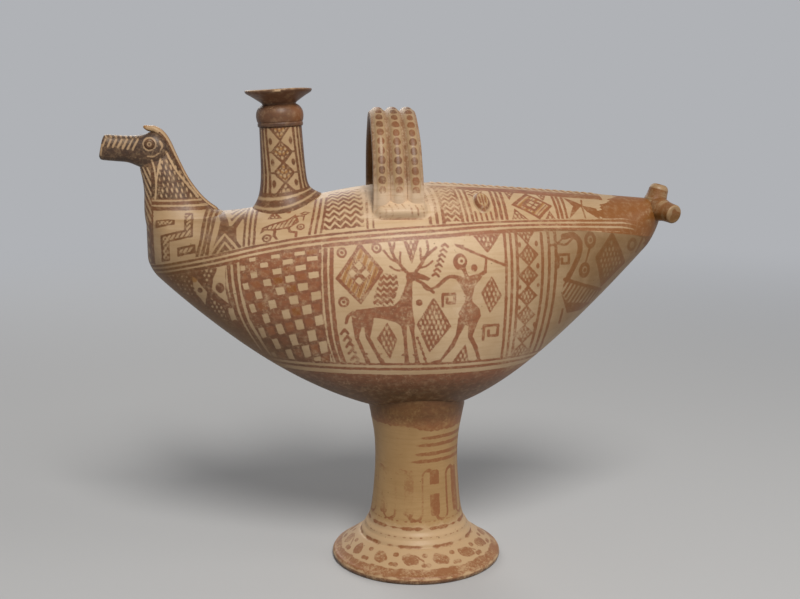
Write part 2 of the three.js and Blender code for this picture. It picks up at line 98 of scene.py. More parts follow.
def keel_at(x):
    bow = BOW_HEIGHT * np.clip(-x / PROW, 0, 1) ** BOW_CURVE
    lift = np.where(x < 0, bow, sweep(x, STERN_SLOPE, STERN_BEND))
    return KEEL + lift + CHEST_CORNER * (1 - end_share(x + PROW, CHEST_CORNER))


def half_beam_at(x):
    bow = CHEST_WIDTH + (BEAM - CHEST_WIDTH) * np.clip(1 - (x / PROW) ** 2, 0, 1) ** BOW_FULLNESS
    stern = TAIL_WIDTH + (BEAM - TAIL_WIDTH) * np.clip(1 - (x / TAIL) ** 2, 0, 1)
    return np.where(x < 0, bow, stern) / 2


def seam_at(x):
    return CROWN - SEAM_DROP - SEAM_SAG * ((x - SEAM_PEAK_X) / (PROW + SEAM_PEAK_X)) ** 2


def body_measures(x):
    """Waist height, heights above and below it, half width, squareness and end shrink at a station."""
    top, bottom = ridge_at(x), keel_at(x)
    waist = bottom + WAIST_SHARE * (top - bottom)
    tail = end_share(TAIL - x, TAIL_ROUND)
    half = half_beam_at(x) * tail * end_share(x + PROW, CHEST_ROUND)
    square = 1 - CHEST_SQUARE * smooth(-x, 90, 150)
    return waist, (top - waist) * tail, (waist - bottom) * tail, half, square


def body_point(x, angle):
    """A point of the skin: angle 0 is the ridge, a quarter turn the near side."""
    x, angle = np.broadcast_arrays(np.asarray(x, float), np.asarray(angle, float))
    waist, above, below, half, square = body_measures(x)
    across, up = np.sin(angle), np.cos(angle)
    power = np.where(up > 0, square, 1)
    height = np.where(up > 0, above, below)
    y = -half * np.sign(across) * np.abs(across) ** power
    z = waist + height * np.sign(up) * np.abs(up) ** power
    return np.stack([x, y, z], -1)


def body_normal(x, angle):
    step = 0.01
    lengthwise = body_point(x + step, angle) - body_point(x - step, angle)
    crosswise = body_point(x, angle + step) - body_point(x, angle - step)
    out = np.cross(crosswise, lengthwise)
    return out / np.maximum(np.linalg.norm(out, axis=-1, keepdims=True), 1e-9)


def seam_angle(x):
    """Angle at which the seam crosses a station."""
    waist, above, below, half, square = body_measures(x)
    gap = seam_at(x) - waist
    up = np.clip(gap / np.maximum(above, 1e-6), 0, 1) ** (1 / square)
    down = np.clip(-gap / np.maximum(below, 1e-6), 0, 1)
    return np.where(gap > 0, np.arccos(up), np.pi - np.arccos(down))


def top_of_body(x, y):
    """Height of the skin over a place in plan."""
    waist, above, below, half, square = body_measures(x)
    across = np.clip(np.abs(y) / np.maximum(half, 1e-6), 0, 1) ** (1 / square)
    return waist + above * np.sqrt(1 - across ** 2) ** square


def bottom_of_body(x, y):
    """Height of the skin under a place in plan."""
    waist, above, below, half, square = body_measures(x)
    return waist - below * np.sqrt(1 - np.clip(np.abs(y) / np.maximum(half, 1e-6), 0, 1) ** 2)


# Meshes from rings of points

def grid(rows, columns):
    """Quads over closed rows of points, and each corner's share along and across."""
    i, j = np.meshgrid(np.arange(rows - 1), np.arange(columns), indexing="ij")
    i, j = i.ravel(), j.ravel()
    corners = [(i, j), (i, j + 1), (i + 1, j + 1), (i + 1, j)]
    faces = np.stack([a * columns + b % columns for a, b in corners], 1)
    shares = np.stack([np.stack([a / (rows - 1), b / columns], -1) for a, b in corners], 1)
    return faces, shares.reshape(-1, 2)


def closed_ends(rings):
    """The same rings with both ends drawn in to a point."""
    first, last = (np.broadcast_to(end.mean(1, keepdims=True), end.shape) for end in (rings[:1], rings[-1:]))
    return np.concatenate([first, rings, last])


def waviness(points, size, depth, seed):
    """Slow unevenness of hand work, the same at every run."""
    rng = np.random.default_rng(seed)
    total = np.zeros(points.shape[:-1])
    for _ in range(5):
        direction = rng.normal(size=3)
        direction *= 2 * np.pi / (size * rng.uniform(0.7, 1.6) * np.linalg.norm(direction))
        total += np.sin(points @ direction + rng.uniform(0, 2 * np.pi))
    return depth * total / 3


def mesh_of(name, rings):
    """A mesh over rows of points in millimetres, and the shares of its corners."""
    faces, shares = grid(*rings.shape[:2])
    places = (rings.reshape(-1, 3) + (FOOT_X, 0, 0)) / 1000
    mesh = bpy.data.meshes.new(name)
    mesh.from_pydata(places.tolist(), [], faces.tolist())
    return mesh, shares


def weld(mesh):
    """Joins the corners that meet and turns all faces outward."""
    work = bmesh.new()
    work.from_mesh(mesh)
    bmesh.ops.remove_doubles(work, verts=work.verts, dist=WELD_DISTANCE)
    bmesh.ops.recalc_face_normals(work, faces=work.faces)
    work.to_mesh(mesh)
    work.free()


def add_object(name, data):
    thing = bpy.data.objects.new(name, data)
    bpy.context.scene.collection.objects.link(thing)
    return thing


def add_piece(name, rings, slot, paint, uv=None):
    """One closed piece from rows of points in millimetres, with its paint as vertex attributes."""
    mesh, shares = mesh_of(name, rings)
    layer = mesh.uv_layers.new(name="OFBake")
    layer.data.foreach_set("uv", (shares if uv is None else uv).astype(np.float32).ravel())
    for label, values in paint.items():
        attribute = mesh.attributes.new(label, "FLOAT", "POINT")
        attribute.data.foreach_set("value", np.asarray(values, np.float32).ravel())
    weld(mesh)
    mesh.shade_smooth()
    mesh.set_sharp_from_angle(angle=SHARP_ANGLE)
    piece = add_object(name, mesh)
    mesh.materials.append(MATERIALS[slot])
    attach(piece, "root")
    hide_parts(name)
    piece.name = "painted_" + name
    return piece


def lathe(profile, sides):
    """Rings of a turned form from [radius, height] points, with the angle from the near side."""
    profile = np.asarray(profile, float)
    turn = np.linspace(0, 2 * np.pi, sides, endpoint=False)
    angle = np.broadcast_to(turn, (len(profile), sides))
    radius, height = profile[:, :1], np.broadcast_to(profile[:, 1:], angle.shape)
    return np.stack([radius * np.sin(angle), -radius * np.cos(angle), height], -1), angle


def bent_line(points, count):
    """Evenly spaced points on a smooth line through the given ones."""
    points = np.asarray(points, float)
    first, last = 2 * points[0] - points[1], 2 * points[-1] - points[-2]
    chain = np.vstack([first, points, last])
    pieces = []
    share = np.linspace(0, 1, 40, endpoint=False)[:, None]
    for a, b, c, d in zip(chain, chain[1:], chain[2:], chain[3:]):
        pieces.append(0.5 * (2 * b + (c - a) * share + (2 * a - 5 * b + 4 * c - d) * share ** 2
                             + (3 * b - a - 3 * c + d) * share ** 3))
    line = np.vstack(pieces + [points[-1:]])
    length = np.concatenate([[0], np.cumsum(np.linalg.norm(np.diff(line, axis=0), axis=1))])
    places = np.linspace(0, length[-1], count)
    return np.stack([np.interp(places, length, line[:, k]) for k in range(points.shape[1])], -1)


def along(outline, places):
    """A smooth line through the outline's points, read at the given places."""
    line = bent_line(outline, 400)
    order = np.argsort(line[:, 0])
    return np.interp(places, line[order, 0], line[order, 1])


# Painted shapes: signed distances in millimetres, negative inside

class Shape:
    """A painted area and the box that holds it."""

    def __init__(self, distance, box):
        self.distance = distance
        self.box = box

    def within(self, other):
        return Shape(lambda u, v: np.maximum(self.distance(u, v), other.distance(u, v)), other.box)

    def without(self, other):
        return Shape(lambda u, v: np.maximum(self.distance(u, v), -other.distance(u, v)), self.box)

    def edge(self, width):
        """The rim just inside the area."""
        return Shape(lambda u, v: np.maximum(self.distance(u, v), -self.distance(u, v) - width), self.box)

    def shrunk(self, width):
        return Shape(lambda u, v: self.distance(u, v) + width, self.box)


def box_of(points, margin):
    points = np.asarray(points, float)
    low, high = points.min(0) - margin, points.max(0) + margin
    return low[0], high[0], low[1], high[1]


def to_segment(u, v, start, end):
    du, dv = end[0] - start[0], end[1] - start[1]
    share = np.clip(((u - start[0]) * du + (v - start[1]) * dv) / (du * du + dv * dv + 1e-9), 0, 1)
    return np.hypot(u - start[0] - share * du, v - start[1] - share * dv)


def stroke(points, width):
    def distance(u, v):
        gaps = [to_segment(u, v, a, b) for a, b in zip(points, points[1:])]
        return np.minimum.reduce(gaps) - width / 2

    return Shape(distance, box_of(points, width))


def curve(points, width):
    """A stroke that bends smoothly through its points."""
    count = 6 * len(points)
    return stroke([tuple(p) for p in bent_line(points, count)], width)


def polygon(points):
    corners = list(zip(points, list(points[1:]) + [points[0]]))

    def distance(u, v):
        gap = np.minimum.reduce([to_segment(u, v, a, b) for a, b in corners])
        inside = np.zeros(u.shape, bool)
        for (au, av), (bu, bv) in corners:
            crosses = (av > v) != (bv > v)
            inside ^= crosses & (u < au + (bu - au) * (v - av) / (bv - av + 1e-12))
        return np.where(inside, -gap, gap)

    return Shape(distance, box_of(points, 1))


def dot(u0, v0, radius, stretch=1.0):
    def distance(u, v):
        return np.hypot(u - u0, (v - v0) / stretch) - radius

    reach = radius * max(1, stretch)
    return Shape(distance, (u0 - radius, u0 + radius, v0 - reach, v0 + reach))


def ring(u0, v0, radius, width):
    return dot(u0, v0, radius).edge(width)


def lozenge(u0, v0, half_u, half_v):
    return polygon([(u0, v0 + half_v), (u0 + half_u, v0), (u0, v0 - half_v), (u0 - half_u, v0)])


def hatching(slant, pitch, width):
    """Parallel strokes all over; the slant is in degrees from the u axis."""
    turn = math.radians(slant)

    def distance(u, v):
        across = v * math.cos(turn) - u * math.sin(turn)
        return np.abs((across + pitch / 2) % pitch - pitch / 2) - width / 2

    return Shape(distance, EVERYWHERE)


def staggered(u, v, pitch_u, pitch_v, half_u, half_v, rounded):
    """Signed distance to marks set in rows, each row half a step along from the last."""
    best = np.full(np.shape(u), FAR)
    for shift in (-1, 0, 1):
        row = np.round(v / pitch_v) + shift
        start = (row % 2) * pitch_u / 2
        du = np.abs((u - start + pitch_u / 2) % pitch_u - pitch_u / 2)
        dv = np.abs(v - row * pitch_v)
        if rounded:
            gap = (np.hypot(du / half_u, dv / half_v) - 1) * min(half_u, half_v)
        else:
            gap = np.maximum(du - half_u, dv - half_v)
        best = np.minimum(best, gap)
    return best


class Canvas:
    """Paint on one piece, in two coordinates of its surface."""

    def __init__(self, u, v):
        self.u, self.v = np.broadcast_arrays(np.asarray(u, float), np.asarray(v, float))
        self.ink = np.full(self.u.shape, FAR)
        self.ochre = np.full(self.u.shape, FAR)
        self.tone = np.zeros(self.u.shape)
        self.wear = np.full(self.u.shape, 0.3)
        self.grime_and_shade = np.zeros(self.u.shape)

    def add(self, layer, shapes):
        for shape in shapes:
            at = self.reach(shape)
            layer[at] = np.minimum(layer[at], shape.distance(self.u[at], self.v[at]))

    def cut(self, layer, shapes):
        for shape in shapes:
            at = self.reach(shape)
            layer[at] = np.maximum(layer[at], -shape.distance(self.u[at], self.v[at]))

    def reach(self, shape, margin=3):
        """The corners in and near the box of a shape."""
        low_u, high_u, low_v, high_v = shape.box
        near_u = (self.u > low_u - margin) & (self.u < high_u + margin)
        return np.nonzero(near_u & (self.v > low_v - margin) & (self.v < high_v + margin))

    def draw(self, *shapes):
        self.add(self.ink, shapes)

    def reserve(self, *shapes):
        self.cut(self.ink, shapes)

    def wash(self, *shapes):
        self.add(self.ochre, shapes)

    def clear(self, *shapes):
        self.cut(self.ink, shapes)
        self.cut(self.ochre, shapes)

    def draw_where(self, distance, where=True):
        """Adds paint by its distance, on a part of the piece."""
        self.ink = np.where(where, np.minimum(self.ink, distance), self.ink)

    def reserve_where(self, depth, where=True):
        """Leaves the ground bare where the depth is over zero, on a part of the piece."""
        self.ink = np.where(where, np.maximum(self.ink, depth), self.ink)

    def reserve_marks(self, marks, area, margin=0.0):
        """Leaves marks bare inside an area."""
        self.reserve_where(-np.maximum(marks, area.distance(self.u, self.v) + margin))

    def layers(self, closed=False):
        """The vertex attributes; closed repeats the end rows, for rings with closed ends."""
        values = {name: getattr(self, name) for name in PAINT_LAYERS}
        if closed:
            return {name: np.concatenate([rows[:1], rows, rows[-1:]]) for name, rows in values.items()}
        return values


# Materials

def linear(red, green, blue):
    """A colour given in screen values from 0 to 255."""
    shares = np.array([red, green, blue]) / 255
    return tuple(np.where(shares <= 0.04045, shares / 12.92, ((shares + 0.055) / 1.055) ** 2.4)) + (1.0,)


class Nodes:
    """Short ways to add and join shader nodes."""

    def __init__(self, material):
        material.use_nodes = True
        self.tree = material.node_tree
        self.shader = self.tree.nodes["Principled BSDF"]
        self.place = self.add("ShaderNodeTexCoord").outputs["Object"]

    def add(self, kind, **settings):
        node = self.tree.nodes.new(kind)
        for key, value in settings.items():
            setattr(node, key, value)
        return node

    def put(self, socket, value):
        if isinstance(value, bpy.types.NodeSocket):
            self.tree.links.new(value, socket)
        else:
            socket.default_value = value

    def value(self, name):
        return self.add("ShaderNodeAttribute", attribute_name=name).outputs["Fac"]

    def math(self, operation, first, second=0.0, third=0.0):
        node = self.add("ShaderNodeMath", operation=operation)
        for socket, value in zip(node.inputs, (first, second, third)):
            self.put(socket, value)
        return node.outputs[0]

    def noise(self, size, detail=2.0, roughness=0.5, stretch=(1, 1, 1), shift=0.0):
        """Soft noise whose blotches are about that many millimetres wide."""
        spread = self.add("ShaderNodeMapping")
        self.put(spread.inputs["Vector"], self.place)
        spread.inputs["Scale"].default_value = stretch
        spread.inputs["Location"].default_value = (shift, shift / 3, -shift)
        node = self.add("ShaderNodeTexNoise")
        self.put(node.inputs["Vector"], spread.outputs[0])
        node.inputs["Scale"].default_value = 1000 / size
        node.inputs["Detail"].default_value = detail
        node.inputs["Roughness"].default_value = roughness
        return node.outputs["Fac"]

    def ramp(self, value, low, high, start=0.0, end=1.0):
        node = self.add("ShaderNodeMapRange", interpolation_type="SMOOTHSTEP")
        for socket, number in zip(node.inputs, (value, low, high, start, end)):
            self.put(socket, number)
        return node.outputs["Result"]

    def mix(self, share, first, second):
        node = self.add("ShaderNodeMix", data_type="RGBA")
        self.put(node.inputs["Factor"], share)
        self.put(node.inputs["A"], first)
        self.put(node.inputs["B"], second)
        return node.outputs["Result"]


def painted_ceramic(name, ground, ground_deep, paint, paint_deep, ochre, chalky):
    """Satin slip with brushed paint that follows the attributes for ink, ochre, tone, wear, and grime with
    painted shade.
    """
    material = bpy.data.materials.new(name)
    nodes = Nodes(material)
    # Uneven edges of the paint
    wobble = nodes.math("MULTIPLY_ADD", nodes.noise(5, 2), 0.8, -0.4)
    fray = nodes.math("MULTIPLY_ADD", nodes.noise(1.1, 3, 0.6), 0.6, -0.3)
    drift = nodes.math("ADD", wobble, fray)
    ink = nodes.ramp(nodes.math("ADD", nodes.value("ink"), drift), -0.3, 0.3, 1, 0)
    ochre_share = nodes.ramp(nodes.math("ADD", nodes.value("ochre"), drift), -0.4, 0.4, 0.85, 0)
    # Flaked and faded paint
    wear, tone = nodes.value("wear"), nodes.value("tone")
    patches = nodes.noise(13, 5, 0.65, shift=3.1)
    specks = nodes.noise(1.5, 3, 0.65, shift=7.7)
    worn = nodes.math("ADD", nodes.math("MULTIPLY", patches, 0.55), nodes.math("MULTIPLY", specks, 0.45))
    flaked = nodes.ramp(nodes.math("ADD", worn, nodes.math("MULTIPLY", wear, 0.24)), 0.58, 0.74)
    lost = nodes.math("MULTIPLY", flaked, nodes.ramp(wear, 0.2, 0.9, 0.6, 1.0))
    faded = nodes.ramp(wear, 0.35, 0.9, 1.0, 0.55)
    cover = nodes.math("MULTIPLY", nodes.math("MULTIPLY", ink, faded), nodes.math("SUBTRACT", 1, lost))
    # Mottled ground with stains and wheel lines
    mottle = nodes.ramp(nodes.noise(26, 4, 0.6, shift=5.2), 0.3, 0.75)
    stains = nodes.ramp(nodes.noise(2.6, 4, 0.7, shift=9.4), 0.5, 0.8, 0, 0.55)
    clay = nodes.mix(nodes.math("MAXIMUM", nodes.math("MULTIPLY", mottle, 0.6), stains), ground, ground_deep)
    rubbed = nodes.math("MULTIPLY_ADD", patches, 0.4, wear)
    clay = nodes.mix(nodes.ramp(rubbed, 0.6, 1.0, 0, chalky), clay, PALE)
    turned = nodes.noise(2.4, 3, 0.6, stretch=(0.12, 0.12, 1.5), shift=6.1)
    clay = nodes.mix(nodes.ramp(turned, 0.42, 0.7, 0, 0.4), clay, ground_deep)
    clay = nodes.mix(ochre_share, clay, ochre)
    # Streaked paint on the ground, with grime, painted shade and pits
    streaks = nodes.noise(4, 4, 0.6, stretch=(1, 1, 3), shift=1.7)
    brushed = nodes.ramp(streaks, 0.3, 0.72)
    thin = nodes.ramp(nodes.noise(3.2, 3, 0.6, shift=12.3), 0.45, 0.75, 1.0, 0.7)
    brown = nodes.mix(nodes.math("MULTIPLY", tone, -1.0), paint, WARM_BROWN)
    deep = nodes.math("MULTIPLY_ADD", brushed, 0.3, nodes.math("MULTIPLY", tone, 0.8))
    brown = nodes.mix(deep, brown, paint_deep)
    flecks = nodes.ramp(nodes.noise(1.3, 3, 0.7, shift=18.3), 0.6, 0.74, 0, 0.55)
    brown = nodes.mix(nodes.math("MULTIPLY", flecks, nodes.ramp(wear, 0.15, 0.5, 0.3, 1.0)), brown, ground)
    colour = nodes.mix(nodes.math("MULTIPLY", cover, thin), clay, brown)
    # The ground darkened for grime and for painted shade
    dirt_and_shade = nodes.math("MULTIPLY", nodes.value("grime_and_shade"), nodes.ramp(patches, 0.2, 0.7, 0.75, 1.0))
    colour = nodes.mix(dirt_and_shade, colour, GRIME_AND_SHADE)
    pits = nodes.ramp(nodes.noise(2.2, 1, 0.5, shift=15.2), 0.76, 0.8, 0, 0.6)
    colour = nodes.mix(pits, colour, GRIME_AND_SHADE)
    nodes.put(nodes.shader.inputs["Base Color"], colour)
    # Satin surface with fine relief
    grain = nodes.noise(0.9, 4, 0.6, shift=4.4)
    gloss = nodes.math("MULTIPLY_ADD", grain, 0.22, 0.32)
    nodes.put(nodes.shader.inputs["Roughness"], nodes.math("MULTIPLY_ADD", flaked, 0.12, gloss))
    nodes.shader.inputs["Specular IOR Level"].default_value = 0.35
    relief = nodes.math("ADD", nodes.math("MULTIPLY", cover, 0.35), nodes.math("MULTIPLY", grain, 0.6))
    relief = nodes.math("MULTIPLY_ADD", patches, 1.2, relief)
    bump = nodes.add("ShaderNodeBump")
    bump.inputs["Strength"].default_value = 0.35
    bump.inputs["Distance"].default_value = 0.0002
    nodes.put(bump.inputs["Height"], relief)
    nodes.put(nodes.shader.inputs["Normal"], bump.outputs["Normal"])
    return material


# The last colour is the brown of grime and of painted shade; the pits use it too
WARM_BROWN, PALE, GRIME_AND_SHADE = linear(144, 87, 40), linear(226, 200, 173), linear(106, 72, 27)

# Ground, deep ground, paint, deep paint and wash of each slip, and how chalky its worn ground is
SLIPS = {
    "cream_slip": ((208, 178, 141), (184, 149, 108), (154, 97, 66), (66, 46, 36), (172, 120, 62), 0.7),
    "brown_slip": ((190, 161, 126), (160, 126, 92), (112, 76, 52), (62, 48, 42), (172, 120, 62), 0.0),
    "foot_clay": ((180, 145, 99), (158, 122, 76), (146, 96, 62), (92, 60, 40), (198, 166, 128), 0.0),
}
MATERIALS = {}
for slip, (*colours, chalkiness) in SLIPS.items():
    MATERIALS[slip] = painted_ceramic(slip, *[linear(*colour) for colour in colours], chalkiness)


# Body shells

HULL_ROWS, SHOULDER_ROWS, INNER_ROWS, STATION_STEP = 205, 92, 9, 0.72


def stations():
    bow = -PROW + CHEST_ROUND * (1 - np.cos(np.linspace(0, np.pi / 2, 22)))
    stern = TAIL - TAIL_ROUND * (1 - np.cos(np.linspace(np.pi / 2, 0, 20)))
    return np.concatenate([bow[:-1], np.arange(bow[-1], stern[0], STATION_STEP), stern])


def hollow_station(x):
    """Where the inner wall has its station for a station of the skin."""
    return np.interp(x, [-PROW, TAIL], [-PROW + HOLLOW_BOW, TAIL - HOLLOW_STERN])


def inner_wall(x, angle):
    deep = hollow_station(x)
    share = end_share(np.minimum(deep + PROW - HOLLOW_BOW, TAIL - HOLLOW_STERN - deep), HOLLOW_ROUND)
    skin = body_point(deep, angle) - WALL * body_normal(deep, angle)
    waist = body_measures(deep)[0]
    middle = np.stack([deep, np.zeros_like(deep), waist], -1)
    return middle + (skin - middle) * share[..., None]


GIRTH_X = np.linspace(-PROW + 0.01, TAIL - 0.01, 700)
GIRTH_ANGLE = np.linspace(0, np.pi, 500)
girth_points = body_point(GIRTH_X[:, None], GIRTH_ANGLE[None, :])
girth_steps = np.linalg.norm(np.diff(girth_points, axis=1), axis=2)
GIRTH = np.concatenate([np.zeros((len(GIRTH_X), 1)), np.cumsum(girth_steps, 1)], 1)


def girth(x, angle):
    """Length over the skin from the ridge down to an angle."""
    row = np.interp(x, GIRTH_X, np.arange(len(GIRTH_X)))
    column = np.interp(np.abs(angle), GIRTH_ANGLE, np.arange(len(GIRTH_ANGLE)))
    above = np.minimum(row.astype(int), len(GIRTH_X) - 2)
    before = np.minimum(column.astype(int), len(GIRTH_ANGLE) - 2)
    down, over = row - above, column - before
    first = GIRTH[above, before] * (1 - over) + GIRTH[above, before + 1] * over
    second = GIRTH[above + 1, before] * (1 - over) + GIRTH[above + 1, before + 1] * over
    return first * (1 - down) + second * down


def shell(name, angles, rows, paint_skin, relief=None):
    """A clay shell from its skin and its inner wall, each a set of angles at every station."""
    x = stations()[:, None]
    outer = angles(x, rows)
    inner = angles(hollow_station(x), INNER_ROWS)[:, ::-1]
    places = np.broadcast_to(x, outer.shape)
    skin = body_point(x, outer)
    swell = waviness(skin, size=55, depth=0.22, seed=3)
    if relief:
        swell = swell + relief(places, outer)
    skin += body_normal(x, outer) * swell[..., None]
    wall = inner_wall(np.broadcast_to(x, inner.shape), inner)
    plain = {"ink": FAR, "ochre": FAR, "tone": 0.0, "wear": 0.0, "grime_and_shade": 0.4}
    paint = {}
    for label, values in paint_skin(places, outer, skin).layers().items():
        paint[label] = np.concatenate([values, np.full(inner.shape, plain[label])], 1)
    rings = np.concatenate([skin, wall], 1)
    return add_piece(name, rings, "cream_slip", paint, shell_uv(rings.shape, outer.shape[1]))


def shell_uv(shape, count):
    """Room on the bake sheet: a half for each side of the skin, and the inner wall between them."""
    rows, columns = shape[:2]
    shares = grid(rows, columns)[1]
    corner = (shares[:, 1] * columns).reshape(-1, 4)
    middle = corner.mean(1, keepdims=True)
    half = (count - 1) / 2
    across = np.where(middle < half, 0.48 * corner / half, 0.52 + 0.48 * (corner - half) / half)
    inside = 0.485 + 0.03 * (corner - count) / (columns - count)
    across = np.where(middle > count - 1, inside, across)
    return np.stack([shares[:, 0], across.ravel()], 1)


def hull_angles(x, rows):
    """From the near seam under the keel to the far seam."""
    start = seam_angle(x)
    near = start + (np.pi - start) * np.linspace(0, 1, rows)[None, :]
    return np.concatenate([near, (2 * np.pi - near[:, ::-1])[:, 1:]], 1)


def shoulder_angles(x, rows):
    """From the far seam over the ridge to the near seam."""
    return seam_angle(x) * np.linspace(-1, 1, 2 * rows - 1)[None, :]


def net(shape, pitch_u, pitch_v, rim, open_share=0.25):
    """Brown area with rows of light dots left open, inside a plain rim."""
    def distance(u, v):
        edge = shape.distance(u, v)
        dots = staggered(u, v, pitch_u, pitch_v, pitch_u * open_share, pitch_v * 0.42, True)
        return np.maximum(edge, -np.maximum(dots, edge + rim))
    return Shape(distance, shape.box)


def draw_nets(canvas, areas, pitch_u, pitch_v, rim):
    for corners in areas:
        canvas.draw(net(polygon(corners), pitch_u, pitch_v, rim))


def draw_hatched(canvas, corners, slant=52, pitch=2.2):
    """An outlined area filled with slanted strokes."""
    area = polygon(corners)
    canvas.draw(area.edge(1.2), hatching(slant, pitch, 0.9).within(area))


def ring_dot(u0, v0, radius):
    return [ring(u0, v0, radius * 1.1, radius * 0.48), dot(u0, v0, radius * 0.34)]


def zigzags(shape, period, pitch, depth, width):
    """Rows of zigzag lines inside an area."""
    def distance(u, v):
        swing = depth * (np.abs((u / period) % 1 - 0.5) * 4 - 1)
        lean = math.hypot(1, 4 * depth / period)
        row = np.abs((v + swing + pitch / 2) % pitch - pitch / 2) / lean - width / 2
        return np.maximum(row, shape.distance(u, v))
    return Shape(distance, shape.box)


def dividers(canvas, tops, bottoms, high, low, width, bend=0.0):
    """Upright lines between panels, from their places at the top to those at the bottom."""
    for top, bottom in zip(tops, bottoms):
        middle = ((top + bottom) / 2 + bend, (high + low) / 2)
        canvas.draw(curve([(top, high), middle, (bottom, low)], width))


SEAM_BAND = [(-157, -3.4), (-125, -3.7), (-110, -3.2), (-90, -2.2), (-60, -1.6), (0, -1.4), (40, 0.6),
             (90, 3.6), (112, 4.9), (121, 5.2), (136, 3.6), (149, 2.5)]


def paint_seam_band(canvas, x, rise):
    """Three brown lines with light ones between, along the seam; the rise is measured up from it."""
    middle = rise - along(SEAM_BAND, x)
    over_checkers = smooth(-np.abs(x + 81.5), -24, -22)
    canvas.reserve_where(np.minimum(4.0 - middle, 4.0 - 2.1 * over_checkers + middle))
    closing = 0.9 * smooth(x, 112, 137)
    for place, half in ((-2.9, 1.0 - 1.5 * over_checkers), (0, 0.75), (2.7, 0.75)):
        canvas.draw_where(np.abs(middle - place) - half - closing)
    canvas.draw_where(136 - x + 0.6 * np.sin(rise * 1.7), rise > -9)


# Frieze on the hull, in x and height

CHECK_COLUMNS, CHECK_SIZE, CHECK_TOP = 6, 6.0, 194.5


def paint_checkers(canvas):
    """Light squares on brown in rows that bend with the hull; some painted cells are warmer."""
    x, z = canvas.u, canvas.v
    tilt = 0.129 + 0.0039 * (CHECK_TOP - z)
    down = CHECK_TOP - z + tilt * (x + 70)
    row = (np.sqrt(np.maximum(9.81 + 1.453 * down, 0.04)) - 3.132) / 0.726
    left, right = -102.8 + 0.218 * row ** 2, -64.2 + 0.072 * row ** 2
    share = (x - left) / (right - left)
    column = CHECK_COLUMNS * np.sign(share) * np.abs(share) ** 0.94
    field = polygon([(-104.4, 193), (-58.6, 200), (-59.6, 183), (-58.8, 162), (-56.6, 146), (-52, 130),
                     (-86, 130), (-99.2, 156), (-103.6, 175)])
    canvas.draw(field)
    cell_column, cell_row = np.round(column), np.round(row)
    chance = np.sin(cell_column * 12.9 + cell_row * 78.2) * 43.7 % 1
    painted = ((cell_column + cell_row) % 2 == 0) & (field.distance(x, z) < -1.5) & (row > -0.5)
    patch = np.maximum(np.abs(column - cell_column) - 0.42, np.abs(row - cell_row) - 0.36) * CHECK_SIZE
    cover = smooth(-patch, -0.2, 0.8)
    bright = (chance > 0.66) & (z > 160) & (x > -90)
    canvas.tone -= np.where(painted, cover * (0.1 + 0.6 * chance + 0.7 * bright), 0)
    half_column = 0.3 + 0.12 * smooth(column, 0, 6)
    half_row = 0.29 + 0.013 * np.clip(row, 0, 10)
    squares = staggered(column + 1, row, 2, 1, half_column, half_row, False) * CHECK_SIZE
    canvas.reserve_marks(np.where(row > -0.5, squares, FAR), field, 0.6)


def border(canvas, line, places, width):
    """Lines side by side that follow one bent line."""
    for place in places:
        canvas.draw(curve([(u + place, v) for u, v in line], width))


def paint_prow_field(canvas):
    """Dark field under the chest with three light lenses and dotted nets between them."""
    x, z = canvas.u, canvas.v
    canvas.draw(polygon([(-112, 192), (-111.8, 176), (-108.6, 163), (-101, 146), (-92, 128), (-162, 128),
                         (-162, 192)]))
    for corners in ([(-128, 186), (-116.5, 188), (-120, 178.6), (-123.4, 174)],
                    [(-122, 169), (-112.4, 162), (-112, 152), (-121, 160)]):
        canvas.reserve_marks(staggered(x, z, 2.5, 2.7, 0.62, 0.95, True), polygon(corners), 0.4)
    for corners in ([(-116, 186.4), (-111.8, 188), (-112.4, 180), (-112.2, 171), (-110.4, 164.6),
                     (-116, 168.8), (-120, 173.2), (-119, 179)],
                    [(-131, 180), (-129, 179), (-126, 175), (-122.8, 171), (-124, 162.6), (-129, 170),
                     (-130.2, 174)],
                    [(-111, 162), (-108.2, 162), (-105, 154), (-109, 153.6), (-111, 159)]):
        canvas.reserve(polygon(corners))
    canvas.draw(dot(-115.2, 174, 2.5, 1.25), dot(-126.6, 171.8, 1.5, 1.1), dot(-107.2, 152.8, 1.9, 1.1))
    canvas.wash(dot(-130, 178.6, 2.2))
    small_dots = staggered(x, z, 2.6, 2.6, 0.4, 0.6, True)
    canvas.reserve_marks(small_dots, polygon([(-147, 181.5), (-133, 182.5), (-128, 169), (-135, 167)]))


